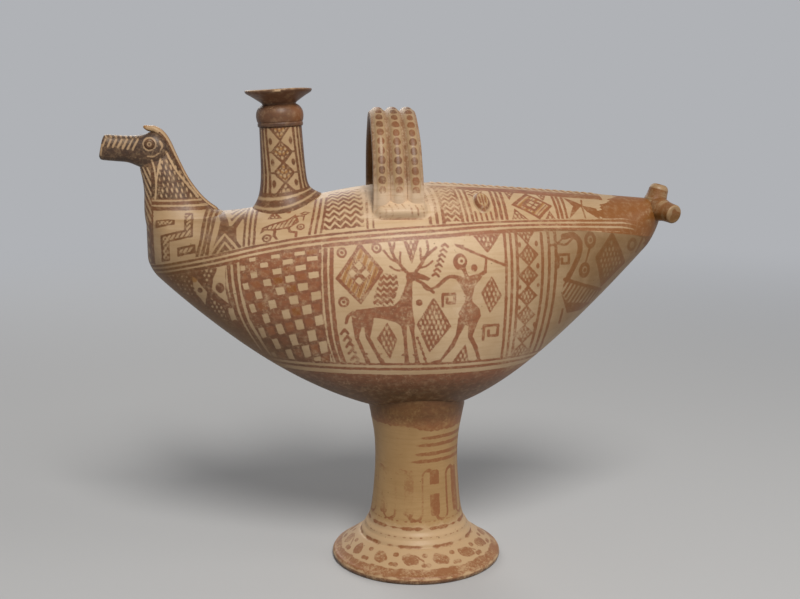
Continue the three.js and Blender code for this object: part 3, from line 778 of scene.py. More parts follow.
def paint_stag(canvas):
    """A standing stag that looks to the right, with branched antlers."""
    canvas.draw(
        polygon([(-43.2, 160.6), (-40.5, 163.6), (-31, 165), (-20.5, 165.8), (-17, 169), (-14.4, 175),
                 (-13, 179.6), (-13.6, 182), (-12.4, 184.4), (-7, 184.4), (-3, 182.8), (0.4, 181),
                 (-1, 179.6), (-7, 180.8), (-9.8, 179.4), (-10, 174), (-9.8, 165), (-8.4, 155), (-12, 154.4),
                 (-13, 156), (-15.8, 154), (-19, 156.4), (-25, 158.2), (-31, 159), (-31.4, 156.6),
                 (-35.6, 153.6), (-38.4, 153.4), (-43, 156)]),
        curve([(-42.4, 162), (-45, 159.8), (-46.2, 155.8)], 1.9),
        polygon([(-43, 156.6), (-37.2, 155.2), (-39, 147.2), (-32.2, 131), (-34.2, 130.4), (-41.2, 147)]),
        polygon([(-36.6, 156), (-31, 157.6), (-32.8, 147.4), (-24.2, 131), (-26.2, 130.4), (-35.2, 147)]),
        polygon([(-16.4, 156), (-12.6, 156), (-12.6, 147), (-10.4, 131), (-12.8, 130.4), (-14.4, 147)]),
        polygon([(-12.2, 156), (-8.2, 156.4), (-8.2, 148), (-4.4, 131), (-6.8, 130.4), (-10, 148)]),
    )
    for u0 in (-33.6, -25.6, -12, -6):
        canvas.draw(polygon([(u0 - 1.4, 130.6), (u0 + 2, 130.6), (u0 + 0.4, 134.4), (u0 - 1.2, 134.4)]),
                    stroke([(u0 - 2.4, 136.6), (u0 - 0.6, 137.4)], 1.2))
    canvas.draw(curve([(-12.6, 184.2), (-16.8, 189), (-19.8, 193.4), (-22, 200.6)], 1.7),
                curve([(-8.4, 184.2), (-4.4, 189), (-2.4, 192.4), (4, 197.4)], 1.7))
    for tine in ([(-20.6, 195.4), (-19.6, 197.6), (-19, 200)], [(-17.6, 190), (-21.5, 191.8), (-25, 196)],
                 [(-14.4, 185.8), (-18, 185.4), (-22, 187.6)], [(-16.2, 188.4), (-16.4, 191.6), (-16, 195.2)],
                 [(-4.2, 189.6), (-4.8, 193), (-5, 197)], [(-2, 193), (-0.6, 196.4), (-1, 200.8)],
                 [(-6.4, 186.6), (-2, 187.6), (1.6, 190.2)]):
        canvas.draw(curve(tine, 1.25))


def paint_hunter(canvas):
    """A standing figure with a raised spear that holds the stag by a cord."""
    canvas.draw(
        dot(17, 189.6, 4.0, 1.1),
        stroke([(18.6, 186.6), (20.6, 181.4)], 2.2),
        polygon([(14, 180.6), (21, 181.4), (27.5, 183), (29.8, 181.4), (25.4, 176), (23.8, 170),
                 (24.2, 166.4), (19.8, 166.4), (19.6, 171), (17.6, 175.6)]),
        polygon([(19.8, 167.4), (24.4, 167), (28.4, 162.8), (29.2, 158.6), (27.2, 154.4), (23, 152.8),
                 (18.2, 154.6), (16, 160.6)]),
        polygon([(16.2, 158.6), (21.6, 156.4), (17.4, 148), (14.4, 140.6), (8.2, 132.8), (6, 132.2),
                 (11.8, 141.2), (15, 148)]),
        polygon([(22.4, 156.4), (27.6, 156.4), (25, 146.8), (28.4, 140.4), (30.9, 131.6), (29.2, 131.2),
                 (25.6, 140.4), (22, 146.6)]),
        stroke([(7, 132.6), (1.4, 130.9)], 1.9),
        stroke([(30.2, 131.6), (25.4, 130)], 1.8),
        curve([(17, 180.8), (10.4, 181.4), (4, 176.4)], 2.1),
        curve([(4, 176.4), (-1.5, 174.6), (-5, 178.6)], 1.2),
        curve([(-8, 180.6), (-3, 177.4), (2, 173)], 1.7),
        stroke([(27, 181.4), (31.2, 183.6)], 2.0),
        stroke([(31.2, 183.6), (32, 191)], 1.5),
        stroke([(15.4, 198.4), (42.4, 187)], 1.4),
        polygon([(14, 199.2), (20, 198.6), (19, 195.6)]),
    )
    canvas.reserve(dot(17.8, 190, 2.0))
    canvas.draw(dot(17.8, 190, 0.9))


def key_filler(canvas, u0, v0, size):
    """A small square spiral."""
    steps = [(-1, -1), (-1, 1), (1, 1), (1, -0.5), (-0.3, -0.5), (-0.3, 0.3)]
    canvas.draw(stroke([(u0 + size * a, v0 + size * b) for a, b in steps], 1.7))


def paint_figures(canvas):
    big = polygon([(-38, 200.5), (-25.5, 185.5), (-38, 166.5), (-52, 181)])
    canvas.wash(hatching(68, 3.6, 2.2).within(big.shrunk(1.6)))
    canvas.draw(big.edge(1.9), hatching(68, 1.8, 0.75).within(big.shrunk(2.2)))
    middle = lozenge(-39, 184, 6.6, 7.8)
    canvas.clear(middle)
    canvas.draw(middle)
    for u0, v0 in ((-39, 188.2), (-35.4, 184), (-39, 179.8), (-42.6, 184)):
        canvas.reserve(lozenge(u0, v0, 2.2, 2.5))
    for u0, v0, radius in ((-48, 195, 2.6), (-29, 197.5, 2.6), (-47.5, 168, 2.8)):
        canvas.draw(*ring_dot(u0, v0, radius))
    zigzag_field = polygon([(-26.5, 184), (-18.5, 183.5), (-17.5, 177), (-20.5, 166), (-31.5, 166),
                            (-31, 172)])
    canvas.draw(zigzags(zigzag_field, 3.4, 3.3, 0.9, 1.5))
    paint_stag(canvas)
    paint_hunter(canvas)
    nets = ([(-15, 203.5), (-4.6, 203.5), (-10, 188.8)], [(24.5, 204), (41.5, 204), (33, 193.6)],
            [(-23.6, 156.4), (-17.6, 146), (-21.4, 134), (-29.2, 147)],
            [(2, 170.6), (12.4, 153.5), (0.6, 137.6), (-7.4, 155)],
            [(35, 181.6), (41.2, 170), (34.4, 159.6), (28.8, 172)],
            [(21, 142.6), (24.2, 130.6), (13.6, 130.6)])
    draw_nets(canvas, nets, 2.5, 3.0, 1.0)
    for step in range(6):
        u0, v0 = -47 + 1.5 * step, 151.5 - 4 * step
        canvas.draw(stroke([(u0 - 1.8, v0 - 2.2), (u0, v0 + 0.6), (u0 + 2, v0 - 1.8)], 1.7))
    for step in range(5):
        u0, v0 = -6.6 + 1.2 * step, 147 - 3.2 * step
        canvas.draw(dot(u0, v0, 0.9), stroke([(u0, v0), (u0 + 1.2, v0 - 3)], 0.8))
    for step in range(7):
        u0, v0 = 3.2 + 0.95 * step, 182 + 2.6 * step
        canvas.draw(stroke([(u0 - 1.8, v0 + 0.4), (u0, v0 + 1.6), (u0 + 1.6, v0)], 1.3))
    canvas.draw(dot(-6, 167.5, 1.8), dot(25, 186, 1.8, 1.2))
    key_filler(canvas, 10.5, 168.5, 3.4)
    key_filler(canvas, 35.5, 148.5, 4.2)


def paint_chain(canvas):
    canvas.draw(net(polygon([(49.6, 205), (62, 205), (56.4, 197.6)]), 2.2, 2.4, 0.9))
    for step in range(6):
        canvas.draw(net(lozenge(57 - 0.2 * step, 191.8 - 11.6 * step, 6.2, 6.3), 2.2, 2.4, 1.2))
    for u0, v0 in ((52, 197.5), (62, 197.8), (62.5, 185.6), (51.8, 174), (62.8, 174.4), (52, 162),
                   (62.4, 151)):
        canvas.draw(dot(u0, v0, 0.9, 1.6))


def paint_bird_panel(canvas):
    wing = polygon([(79.4, 176), (107, 166), (103, 158.6), (84, 160.6), (78.4, 169)])
    canvas.draw(
        curve([(70.5, 196.5), (75, 197.4), (79.5, 201.2)], 1.3),
        curve([(75, 197.4), (80, 196.6), (85, 199.8)], 1.2),
        curve([(79, 200.8), (85, 201.4), (89, 197.4), (88.4, 190), (84.4, 182), (81, 176)], 3.3),
        stroke([(79.6, 176.6), (107, 166.8)], 2.2),
        hatching(58, 2.7, 1.4).within(wing),
        polygon([(78, 168.5), (83, 162), (103, 159), (95, 155), (84, 155)]),
        stroke([(80.5, 158), (80, 149)], 1.6),
    )
    for u0, v0 in ((96, 198.2), (92.6, 181)):
        canvas.draw(dot(u0, v0, 3.8, 1.25).edge(2.0), dot(u0 + 0.3, v0, 1.0, 1.4))
    canvas.draw(stroke([(95.4, 193.6), (93.2, 185.6)], 1.2), stroke([(135, 199), (130.6, 188)], 1.6),
                net(polygon([(111, 202.4), (123, 182), (106.6, 168), (99.4, 188)]), 2.6, 3.2, 2.7),
                dot(126, 193, 3.7, 1.12).edge(1.9))
    key_filler(canvas, 78.5, 187.6, 3.4)


FRIEZE_FOOT, FOOT_LINES, KEEL_PAINT_TOP = 131.5, ((130.8, 0.7), (127.6, 0.9)), 124.0


def paint_hull(x, angle, skin):
    z = skin[..., 2]
    canvas = Canvas(x, z)
    paint_prow_field(canvas)
    paint_checkers(canvas)
    border(canvas, [(-105, 190), (-104, 175), (-100, 156), (-90, 136), (-86, 130)], (-1.8, -5.4), 2.2)
    border(canvas, [(-58, 203), (-59, 183), (-58, 162), (-55.6, 144), (-51.4, 130)], (1.6, 5.0), 2.3)
    paint_figures(canvas)
    dividers(canvas, (43.4, 46.8, 50.2), (44, 47.2, 50.4), 205, 128, 1.7)
    paint_chain(canvas)
    dividers(canvas, (65.4, 69.6, 73.8), (61.5, 65.5, 69.5), 205, 128, 1.8, 1.6)
    paint_bird_panel(canvas)
    paint_seam_band(canvas, x, z - seam_at(x))
    amidships = (x > -92) & (x < 75)
    canvas.reserve_where(FRIEZE_FOOT - z, amidships & (z < FRIEZE_FOOT))
    for height, half in FOOT_LINES:
        canvas.draw_where(np.abs(z - height) - half, amidships)
    canvas.draw_where(z - KEEL_PAINT_TOP, amidships)
    age_hull(canvas, x, angle, z)
    return canvas


def age_hull(canvas, x, angle, z):
    """Darker paint and ground to the bow, the keel and the tail, partly stains and partly painted shade;
    rubbed paint around the net column.
    """
    to_bow, lower = smooth(-x, 40, 84), smooth(-z, -168, -136)
    # Deeper paint toward the bow and the tail, partly painted shade; the much deeper bottom band is painted
    # shade
    canvas.tone += 0.12 * smooth(-x, 52, 60) + 0.45 * smooth(-x, 98, 125) + 1.0 * smooth(-z, -126, -108)
    canvas.tone += 0.5 * lower * to_bow + 0.35 * smooth(x, 85, 130) - 0.4 * smooth(x, 0, 80)
    # Grime and painted shade under the keel, at the prow's underside, low on the hull and toward the tail
    under = smooth(np.minimum(angle, 2 * np.pi - angle), 2.1, 2.8)
    stain_and_shade = 0.5 * smooth(-x, 112, 146) + 0.45 * smooth(-z, -132, -106) + 0.85 * smooth(x, 20, 110)
    stain_and_shade = np.maximum(stain_and_shade, 0.8 * under * smooth(np.abs(x), 40, 110)) + 0.1 * smooth(-x, 62, 90)
    canvas.grime_and_shade = stain_and_shade + 0.3 * smooth(-z, -172, -130) * smooth(-x, 36, 84) + 0.12 * smooth(-x, 96, 120)
    by_column = smooth(-np.abs(x - 55), -14, -4) * smooth(-z, -185, -150)
    by_hunter = smooth(-np.hypot(x - 21, (z - 170) / 1.4), -16, -6)
    by_stag = smooth(-np.abs(x + 25), -30, -15)
    canvas.wear += 0.3 * by_column + 0.3 * by_hunter + 0.15 * by_stag - 0.05 - 0.2 * smooth(-z, -128, -114)


# Frieze on the shoulder, in x and length over the skin above the seam

def paint_chest(canvas):
    """Slanted strokes on the front edge, a dark stripe and a hatched stepped key with two loose bars."""
    front = polygon([(-162, -4), (-154.2, -4), (-154.2, 50), (-162, 50)])
    canvas.draw(front, stroke([(-153, -2), (-153.4, 50)], 2.4))
    canvas.reserve(hatching(-68, 2.3, 0.9).within(front.shrunk(0.5)))
    draw_hatched(canvas, [(-134.6, 44), (-129.6, 44), (-129.6, 12), (-142.8, 12), (-142.8, 1.5),
                          (-147.8, 1.5), (-147.8, 17), (-134.6, 17)])
    draw_hatched(canvas, [(-150.8, 26.6), (-140, 26.6), (-140, 21.6), (-150.8, 21.6)])
    draw_hatched(canvas, [(-138.6, 7.8), (-128.4, 7.8), (-128.4, 2.8), (-138.6, 2.8)])
    for top, bottom in ((-121.8, -128.2), (-119, -125.4)):
        canvas.draw(curve([(top, 44), ((top + bottom) / 2 + 0.6, 14), (bottom, -1)], 1.8))


def paint_hourglass(canvas):
    """Two nested angles point to point on a brown field, with a light lens at each side."""
    canvas.draw(polygon([(-117.4, 46), (-99.5, 40), (-103, 1), (-123.4, -1), (-119.6, 16)]))
    for step in range(3):
        lift, drop = 7.5 * step, 5.2 * step
        canvas.reserve(stroke([(-112.6 + step, 40 + lift), (-108.6, 17.5 + lift), (-99.5, 35 + lift)], 1.6))
        canvas.reserve(stroke([(-120.4, 0.5 - drop), (-112, 11 - drop), (-104.6, 0 - drop)], 1.4))
    canvas.reserve(polygon([(-116, 32), (-114.4, 21), (-115.6, 13), (-117.4, 7), (-121.4, -1), (-119.8, 8),
                            (-118, 17)]))
    canvas.reserve(polygon([(-101.4, 24), (-105.6, 14), (-105.4, 6), (-102.6, 1), (-101.6, 8)]))


def paint_hound(canvas):
    draw_hatched(canvas, [(-92.6, 7.6), (-91.4, 12), (-85, 14.4), (-77, 16), (-72, 20), (-70.6, 12.6),
                          (-76, 8.8), (-84, 8.6), (-89.6, 9.6)], 60, 2.0)
    canvas.draw(stroke([(-84, 9.6), (-84.6, 5), (-82, 0.6)], 1.6),
                stroke([(-76.4, 9.6), (-76, 6.4), (-72.4, 5.4), (-73, 1)], 1.4),
                stroke([(-71.6, 17.6), (-69, 17.4)], 1.1), lozenge(-67, 19.4, 3.2, 1.9).edge(0.9),
                stroke([(-67.6, 17.2), (-68.4, 13)], 0.8))
    draw_nets(canvas, [[(-88.4, 18.6), (-84.2, 26.4), (-79.6, 17.6)]], 2.0, 2.2, 0.8)
    canvas.draw(dot(-76, 22.8, 1.3), *ring_dot(-88.8, 4.2, 2.5), *ring_dot(-69.8, 8.8, 2.2))


def paint_rear_panels(canvas):
    """Tilted rectangle with a ladder frame between four nets, and plain wings behind it."""
    for uprights, high, width in (((40.6, 43.5, 46.5), 34, 1.8), ((77.6, 80.2, 83.0), 36, 1.6)):
        dividers(canvas, uprights, uprights, high, 3, width)
    tilted = polygon([(62, 30.4), (75.6, 17), (66, 6), (50.8, 17)])
    inner = polygon([(62, 24.4), (69.4, 18.8), (64.4, 11.6), (56.8, 16.4)])
    ladder = hatching(50, 2.3, 0.8).within(tilted.shrunk(1.5)).without(inner)
    canvas.draw(tilted.edge(1.7), inner.edge(1.3), ladder)
    canvas.draw(hatching(-40, 3.2, 1.0).within(inner), hatching(52, 3.6, 1.0).within(inner))
    canvas.wash(hatching(50, 4.6, 2.4).within(tilted).without(inner))
    nets = ([(48.8, 34), (56.4, 34), (50.4, 21.6)], [(66.6, 34), (75.6, 32.6), (71, 21.4)],
            [(52, 13.8), (60.6, 4), (49, 4)], [(73, 12.8), (77, 4), (68, 4)])
    draw_nets(canvas, nets, 2.3, 2.6, 1.0)
    canvas.draw(polygon([(84.2, 27), (94.8, 18.8), (84, 6.6), (88.4, 17.6)]),
                polygon([(94, 18.4), (103, 16), (104, 7.6), (96, 13.6)]),
                stroke([(95.2, 24), (94, 17), (94.6, 6.4)], 1.1))


def rope_wave(x, from_ridge, angle):
    """From -1 in the notches of the ridge cord to 1 on its turns."""
    return np.cos(2 * np.pi * (x - 0.6 * from_ridge * np.sign(angle)) / ROPE_PITCH)


def paint_shoulder(x, angle, skin):
    from_ridge = girth(x, angle)
    rise = girth(x, seam_angle(x)) - from_ridge
    canvas = Canvas(x, rise)
    paint_chest(canvas)
    paint_hourglass(canvas)
    dividers(canvas, (-98, -95.2, -92.4), (-101.6, -98.8, -96), 40, 2, 1.4, -0.4)
    paint_hound(canvas)
    dividers(canvas, (-60, -57, -54), (-65.4, -62.2, -59), 34, 2, 1.5, 0.4)
    dividers(canvas, (-31.6, -28.6), (-33.2, -30), 42, 2, 1.2)
    dividers(canvas, (0.2, 4, 7.7), (2, 6, 9.6), 38, 2, 1.8, 0.6)
    dividers(canvas, (18.8, 21.5, 24.5), (20.6, 23.5, 26.5), 38, 2, 1.6)
    dividers(canvas, (28.4, 31.4, 34.4, 37.4), (29, 32, 35, 38), 11, 3, 1.3)
    canvas.draw(zigzags(polygon([(-52.5, 42), (-34, 42), (-35, 4), (-57.6, 4)]), 6.0, 4.7, 1.8, 1.7),
                zigzags(polygon([(9.2, 38), (18.6, 38), (20.8, 4), (10.6, 4)]), 4.8, 4.3, 1.6, 1.5),
                zigzags(polygon([(25.8, 38), (38.4, 38), (34, 26), (26.6, 24)]), 4.2, 3.8, 1.3, 1.3))
    paint_rear_panels(canvas)
    paint_rope(canvas, x, angle, from_ridge)
    ragged = 103.4 + 16 * smooth(rise, 12, 34) + 1.3 * np.sin(rise * 0.9) + 0.8 * np.sin(rise * 2.1 + 1)
    canvas.draw_where(ragged - x)
    paint_seam_band(canvas, x, rise)
    canvas.ink = np.where(x > 135.5, SOLID, canvas.ink)
    by_zigzags = smooth(-np.abs(x + 45), -30, -12)
    # Deeper paint toward the bow, lighter toward the tail; grime with painted shade toward both ends and at
    # the tail tip
    canvas.tone = 0.6 * smooth(-x, 62, 112) + 0.25 * by_zigzags - 1.0 * smooth(x, 60, 110)
    handled = smooth(-np.abs(x + 8), -60, -24) * smooth(rise, -2, 10)
    beside_pad = smooth(-np.abs(x + 14), -24, -15) * smooth(rise, 4, 14)
    canvas.wear = 0.22 + 0.3 * handled + 0.25 * beside_pad
    canvas.grime_and_shade = 0.5 * smooth(-x, 74, 124) + 0.3 * smooth(x, 40, 110) + 0.3 * smooth(x, 132, 148)
    return canvas


def paint_rope(canvas, x, angle, from_ridge):
    """Brown notches on the ridge cord and a brown band beside it."""
    behind_handle = (x > 1) & (x < 109)
    edge = 14.5 - 2 * smooth(x, 80, 110)
    half_band = 2.6 + 1.4 * smooth(x, 16, 60)
    notches = np.maximum(1.6 * (rope_wave(x, from_ridge, angle) + 0.1), from_ridge - 5.0)
    canvas.reserve_where(edge - from_ridge, behind_handle)
    canvas.draw_where(np.abs(from_ridge - edge + half_band) - half_band, behind_handle)
    canvas.draw_where(notches, behind_handle)


def rope_crest(x, angle):
    """Raised cord with slanted notches along the ridge behind the handle."""
    from_ridge = girth(x, angle)
    notches = 0.62 + 0.38 * rope_wave(x, from_ridge, angle)
    fade = smooth(x, 4, 9) * smooth(-x, -113, -104)
    return ROPE_HEIGHT * np.exp(-(from_ridge / ROPE_REACH) ** 2) * notches * fade


shell("hull_shell", hull_angles, HULL_ROWS, paint_hull)
shoulder = shell("shoulder_shell", shoulder_angles, SHOULDER_ROWS, paint_shoulder, rope_crest)

# Animal neck and head: outlines in x against height

NECK_FRONT = [(204, -156.6), (212, -157.8), (219, -157.9), (226, -157.7), (233, -158.4), (238, -159.4),
              (242, -159.5), (247, -156), (251, -152)]
NECK_BACK = [(204, -108), (211, -109), (213.6, -112.5), (216, -118.2), (219, -122.2), (223, -126.2),
             (229, -130.6), (235, -134), (241, -137.2), (247, -139.8), (253, -143)]
NECK_HALF = [(204, 19), (209.4, 18), (210.6, 16.6), (212, 15.8), (214, 14.6), (218, 12.9), (224, 11.6),
             (230, 10.4), (237, 9.2), (244, 7.6), (251, 5.6)]
HEAD_TOP = [(-180.6, 256.8), (-179.2, 258.2), (-173, 258), (-165, 257.6), (-158, 258), (-153, 259.6),
            (-149, 259.6), (-145.6, 257), (-142.4, 252)]
HEAD_BOTTOM = [(-180.6, 245.4), (-179.2, 244), (-173, 243.2), (-166, 242.4), (-160, 240), (-155, 238),
               (-149, 238), (-145.6, 241), (-142.4, 246.5)]
HEAD_HALF = [(-180.6, 4.6), (-179.2, 5.3), (-172, 5.8), (-163, 6.6), (-156, 7.9), (-150, 8.1), (-145.6, 7.2),
             (-142.4, 4.6)]


def oval(angle, power):
    """Unit points of a rounded square section."""
    return (np.sign(np.cos(angle)) * np.abs(np.cos(angle)) ** (2 / power),
            np.sign(np.sin(angle)) * np.abs(np.sin(angle)) ** (2 / power))


def paint_animal(rings):
    """Paint of the neck and the head alike, in x and height."""
    x, z = rings[..., 0], rings[..., 2]
    canvas = Canvas(x, z)
    canvas.ink = np.full(x.shape, SOLID)
    dots = staggered(x + 0.25 * (z - 240), z, 2.7, 3.2, 0.44, 1.1, True)
    canvas.reserve_marks(dots, polygon([(-147.6, 243), (-142.4, 246.5), (-126, 222.8), (-149.2, 222.8)]))
    for points, width in (([(-154.4, 246.2), (-151, 246.2), (-147.6, 248.2)], 0.9),
                          ([(-147.4, 254.4), (-146.2, 251.8), (-147.4, 249)], 0.9),
                          ([(-152.2, 244), (-150.9, 239.4), (-150, 232.4)], 1.0),
                          ([(-147.4, 244.6), (-148.8, 238), (-150, 232.4)], 1.0),
                          ([(-150, 233), (-150.2, 228), (-150.8, 222.4)], 1.0),
                          ([(-144.2, 248.6), (-139.6, 239.4), (-134.8, 232.6), (-127.2, 223)], 1.1)):
        canvas.reserve(curve(points, width))
    throat = polygon([(-165, 240), (-153, 240), (-153, 200), (-165, 200)])
    canvas.reserve(hatching(-66, 2.2, 0.9).within(throat))
    for step in range(7):
        x0 = -179.2 + 2.75 * step
        canvas.reserve(stroke([(x0, 252 - 0.35 * step), (x0 + 1.6 + 0.25 * step, 255.6)], 1.05),
                       stroke([(x0 + 0.4, 259), (x0 + 2, 256.9)], 0.9))
    canvas.reserve(stroke([(-179.8, 252.6), (-180.6, 247)], 1.0), ring(EYE_X, EYE_Z, EYE_RADIUS + 0.9, 0.8))
    panel = np.where(x > -152, 100.0, 215.9)
    for high, low in ((221.9, 220.9), (219.1, 218.0), (215.9, panel)):
        canvas.reserve_where(np.minimum(high - z, z - low), x > -153)
    for top, bottom in ((-121.8, -125.8), (-118.8, -122.8), (-115.9, -119.4)):
        canvas.draw(stroke([(top, 216), (bottom, 205)], 1.7))
    draw_hatched(canvas, [(-134.6, 214.6), (-129.6, 214.6), (-129.6, 200), (-134.6, 200)])
    # Deeper paint on the head and upper neck; grime with painted shade, heaviest low on the neck beside the
    # shoulder
    canvas.tone = np.where(z > 222.2, 0.95, 0.5)
    canvas.grime_and_shade = 0.4 - 0.2 * smooth(z, 216, 228) - 0.1 * smooth(z, 246, 250)
    return canvas


def protome_neck():
    height = np.concatenate([np.linspace(205, 212, 8)[:-1], np.linspace(212, 250, 80)])[:, None]
    front, back = along(NECK_FRONT, height), along(NECK_BACK, height)
    across, up = oval(np.linspace(0, 2 * np.pi, 180, endpoint=False)[None, :], 2.35)
    rings = np.stack(np.broadcast_arrays((front + back) / 2 + (back - front) / 2 * across,
                                         along(NECK_HALF, height) * up, height), -1)
    rings = closed_ends(rings + waviness(rings, size=24, depth=0.15, seed=8)[..., None] * (0, 1, 0))
    add_piece("protome_neck", rings, "cream_slip", paint_animal(rings).layers())


def protome_head():
    tip, back = HEAD_TOP[0][0], HEAD_TOP[-1][0]
    turn = np.linspace(0, np.pi, 96)
    x = (tip + back) / 2 - (back - tip) / 2 * np.cos(turn)[:, None]
    top, bottom = along(HEAD_TOP, x), along(HEAD_BOTTOM, x)
    across, up = oval(np.linspace(0, 2 * np.pi, 120, endpoint=False)[None, :], 2.5)
    slant = 1.3 * smooth(-x, 170, 180)
    rings = np.stack(np.broadcast_arrays(x + slant * up, along(HEAD_HALF, x) * across,
                                         (top + bottom) / 2 + (top - bottom) / 2 * up), -1)
    rings = closed_ends(rings + waviness(rings, size=18, depth=0.12, seed=9)[..., None] * (0, 1, 0))
    add_piece("protome_head", rings, "brown_slip", paint_animal(rings).layers())


def mane_crest():
    line = bent_line([(-116, 214.2), (-121.6, 218), (-126.4, 222.6), (-131, 228.6), (-134.5, 234.3),
                      (-137.6, 240.8), (-140.2, 246.7), (-143.2, 253.2), (-146.6, 258.2), (-150.4, 261),
                      (-153.8, 261.6), (-157, 262.8)], 150)
    step = np.gradient(line, axis=0)
    step /= np.linalg.norm(step, axis=1, keepdims=True)
    share = np.linspace(0, 1, len(line))
    tip = end_share(1 - share, 0.14) ** 0.8
    half_wide = (3.3 + 0.5 * smooth(share, 0.5, 0.8)) * tip * end_share(share, 0.05)
    half_thick = (1.5 + 0.5 * smooth(share, 0.6, 0.85)) * tip * end_share(share, 0.05)
    turn = np.linspace(0, 2 * np.pi, 48, endpoint=False)
    across, up = oval(turn[None, :], 2.6)
    out = np.stack([-step[:, 1], step[:, 0]], 1)
    thick = half_thick[:, None] * up
    wide = half_wide[:, None] * across
    rings = np.stack([line[:, :1] - out[:, :1] * thick, wide, line[:, 1:] - out[:, 1:] * thick], -1)
    canvas = Canvas(share[:, None] * 68, wide)
    canvas.ochre = np.abs(canvas.v) - 2.4
    canvas.draw(stroke([(0, 0), (26, 0)], 2.6), stroke([(40, 0), (60, 0)], 1.1))
    canvas.draw_where(np.abs(thick) - 0.5, (np.abs(across) > 0.6) & (canvas.u < 58))
    canvas.tone += 0.7
    canvas.grime_and_shade += 0.2
    add_piece("mane_crest", closed_ends(rings), "cream_slip", canvas.layers(closed=True))


def eye_pellet(name, side):
    rings = lathe([(0, 1.1), (0.6, 1.08), (1.1, 0.9), (1.5, 1.0), (2.2, 0.95), (2.7, 0.6), (EYE_RADIUS, 0.1),
                   (EYE_RADIUS, -3), (0, -3)], 48)[0]
    radius = np.hypot(rings[..., 0], rings[..., 1])
    level = float(along(HEAD_HALF, EYE_X)) - 0.35
    places = np.stack([EYE_X + rings[..., 0], side * (-level - rings[..., 2]), EYE_Z + rings[..., 1]], -1)
    canvas = Canvas(radius, rings[..., 2])
    canvas.ink = np.minimum(np.abs(radius - 2.2) - 0.95, radius - 0.55)
    canvas.tone += 0.9
    canvas.grime_and_shade += 0.25
    add_piece(name, places, "cream_slip", canvas.layers())


protome_neck()
protome_head()
mane_crest()
eye_pellet("eye_pellet_left", 1)
eye_pellet("eye_pellet_right", -1)


# Spout, measured up its own axis from the ridge

SPOUT_BASE = float(ridge_at(np.array(SPOUT_X)))


def lean(rings):
    x, y, z = rings[..., 0], rings[..., 1], rings[..., 2]
    turn_sin, turn_cos = math.sin(SPOUT_LEAN), math.cos(SPOUT_LEAN)
    return np.stack([SPOUT_X + x * turn_cos - z * turn_sin, y, SPOUT_BASE + x * turn_sin + z * turn_cos], -1)


def spout_neck():
    outside = bent_line([(21, -0.6), (18.6, 1.2), (16.4, 3.6), (14.6, 7), (13.5, 12), (12.9, 19), (12.5, 30),
                         (12.2, 43)], 110)
    inside = [(SPOUT_BORE, 43), (SPOUT_BORE, -6), (21, -6), (21, -0.6)]
    rings, angle = lathe(np.concatenate([outside, inside]), 200)
    places = lean(rings)
    height = rings[..., 2]
    sag = top_of_body(places[..., 0], places[..., 1]) - SPOUT_BASE
    places[..., 2] += sag * smooth(-height, -13, 0)
    across = (angle + np.pi / 2) % np.pi - np.pi / 2
    canvas = Canvas(np.abs(12 * across + 1.6 * smooth(height, 10, 44) - 0.5), height)
    paint_spout(canvas)
    canvas.ink[-len(inside):] = FAR
    add_piece("spout_neck", places, "cream_slip", canvas.layers())


def paint_spout(canvas):
    for v0, half_u, half_v in ((43.6, 6.6, 8.8), (29.2, 6.4, 7.0), (17.4, 6.2, 6.8), (5.4, 6.6, 7.4)):
        area = lozenge(0, v0, half_u, half_v)
        canvas.draw(net(area, 2.1, 2.6, 1.3, 0.34))
        if v0 > 10:
            canvas.wash(hatching(35, 2.8, 1.3).within(area.shrunk(1.2)))
    for v0 in (29.2, 17.4):
        canvas.draw(stroke([(6, v0), (7.8, v0)], 1.1))
    for v0 in (35.4, 23.4, 11.6):
        canvas.draw(dot(5.8, v0, 1.1, 1.8))
    for low, high in ((7.4, 9.0), (10.3, 12.0), (13.2, 22)):
        canvas.draw(stroke([((low + high) / 2, 6), ((low + high) / 2, 46)], high - low))
    canvas.reserve_where(6.8 - canvas.v)
    for v0, width in ((6.6, 1.7), (3.4, 2.4), (0.2, 2.2)):
        canvas.draw_where(np.abs(canvas.v - v0) - width / 2)
    # Deeper paint and grime, partly painted shade on the upright tube
    canvas.tone += 0.55
    canvas.grime_and_shade += 0.3


def spout_collar():
    outside = bent_line([(12.6, 43.2), (13, 43.8), (13, 45.2), (12.75, 45.7), (13.2, 46.5), (13.6, 49.2),
                         (13.2, 52), (11.8, 54.4), (9.6, 56)], 70)
    rings, angle = lathe(np.concatenate([outside, [(SPOUT_BORE, 56), (SPOUT_BORE, 43.2), (12.6, 43.2)]]), 160)
    canvas = Canvas(angle, rings[..., 2])
    canvas.ink = np.full(angle.shape, SOLID)
    canvas.wear -= 0.25
    canvas.tone = 0.5 * smooth(-rings[..., 2], -46.4, -44.6) - 0.5 * smooth(np.sin(angle), 0.3, 0.9)
    add_piece("spout_collar", lean(rings), "brown_slip", canvas.layers())


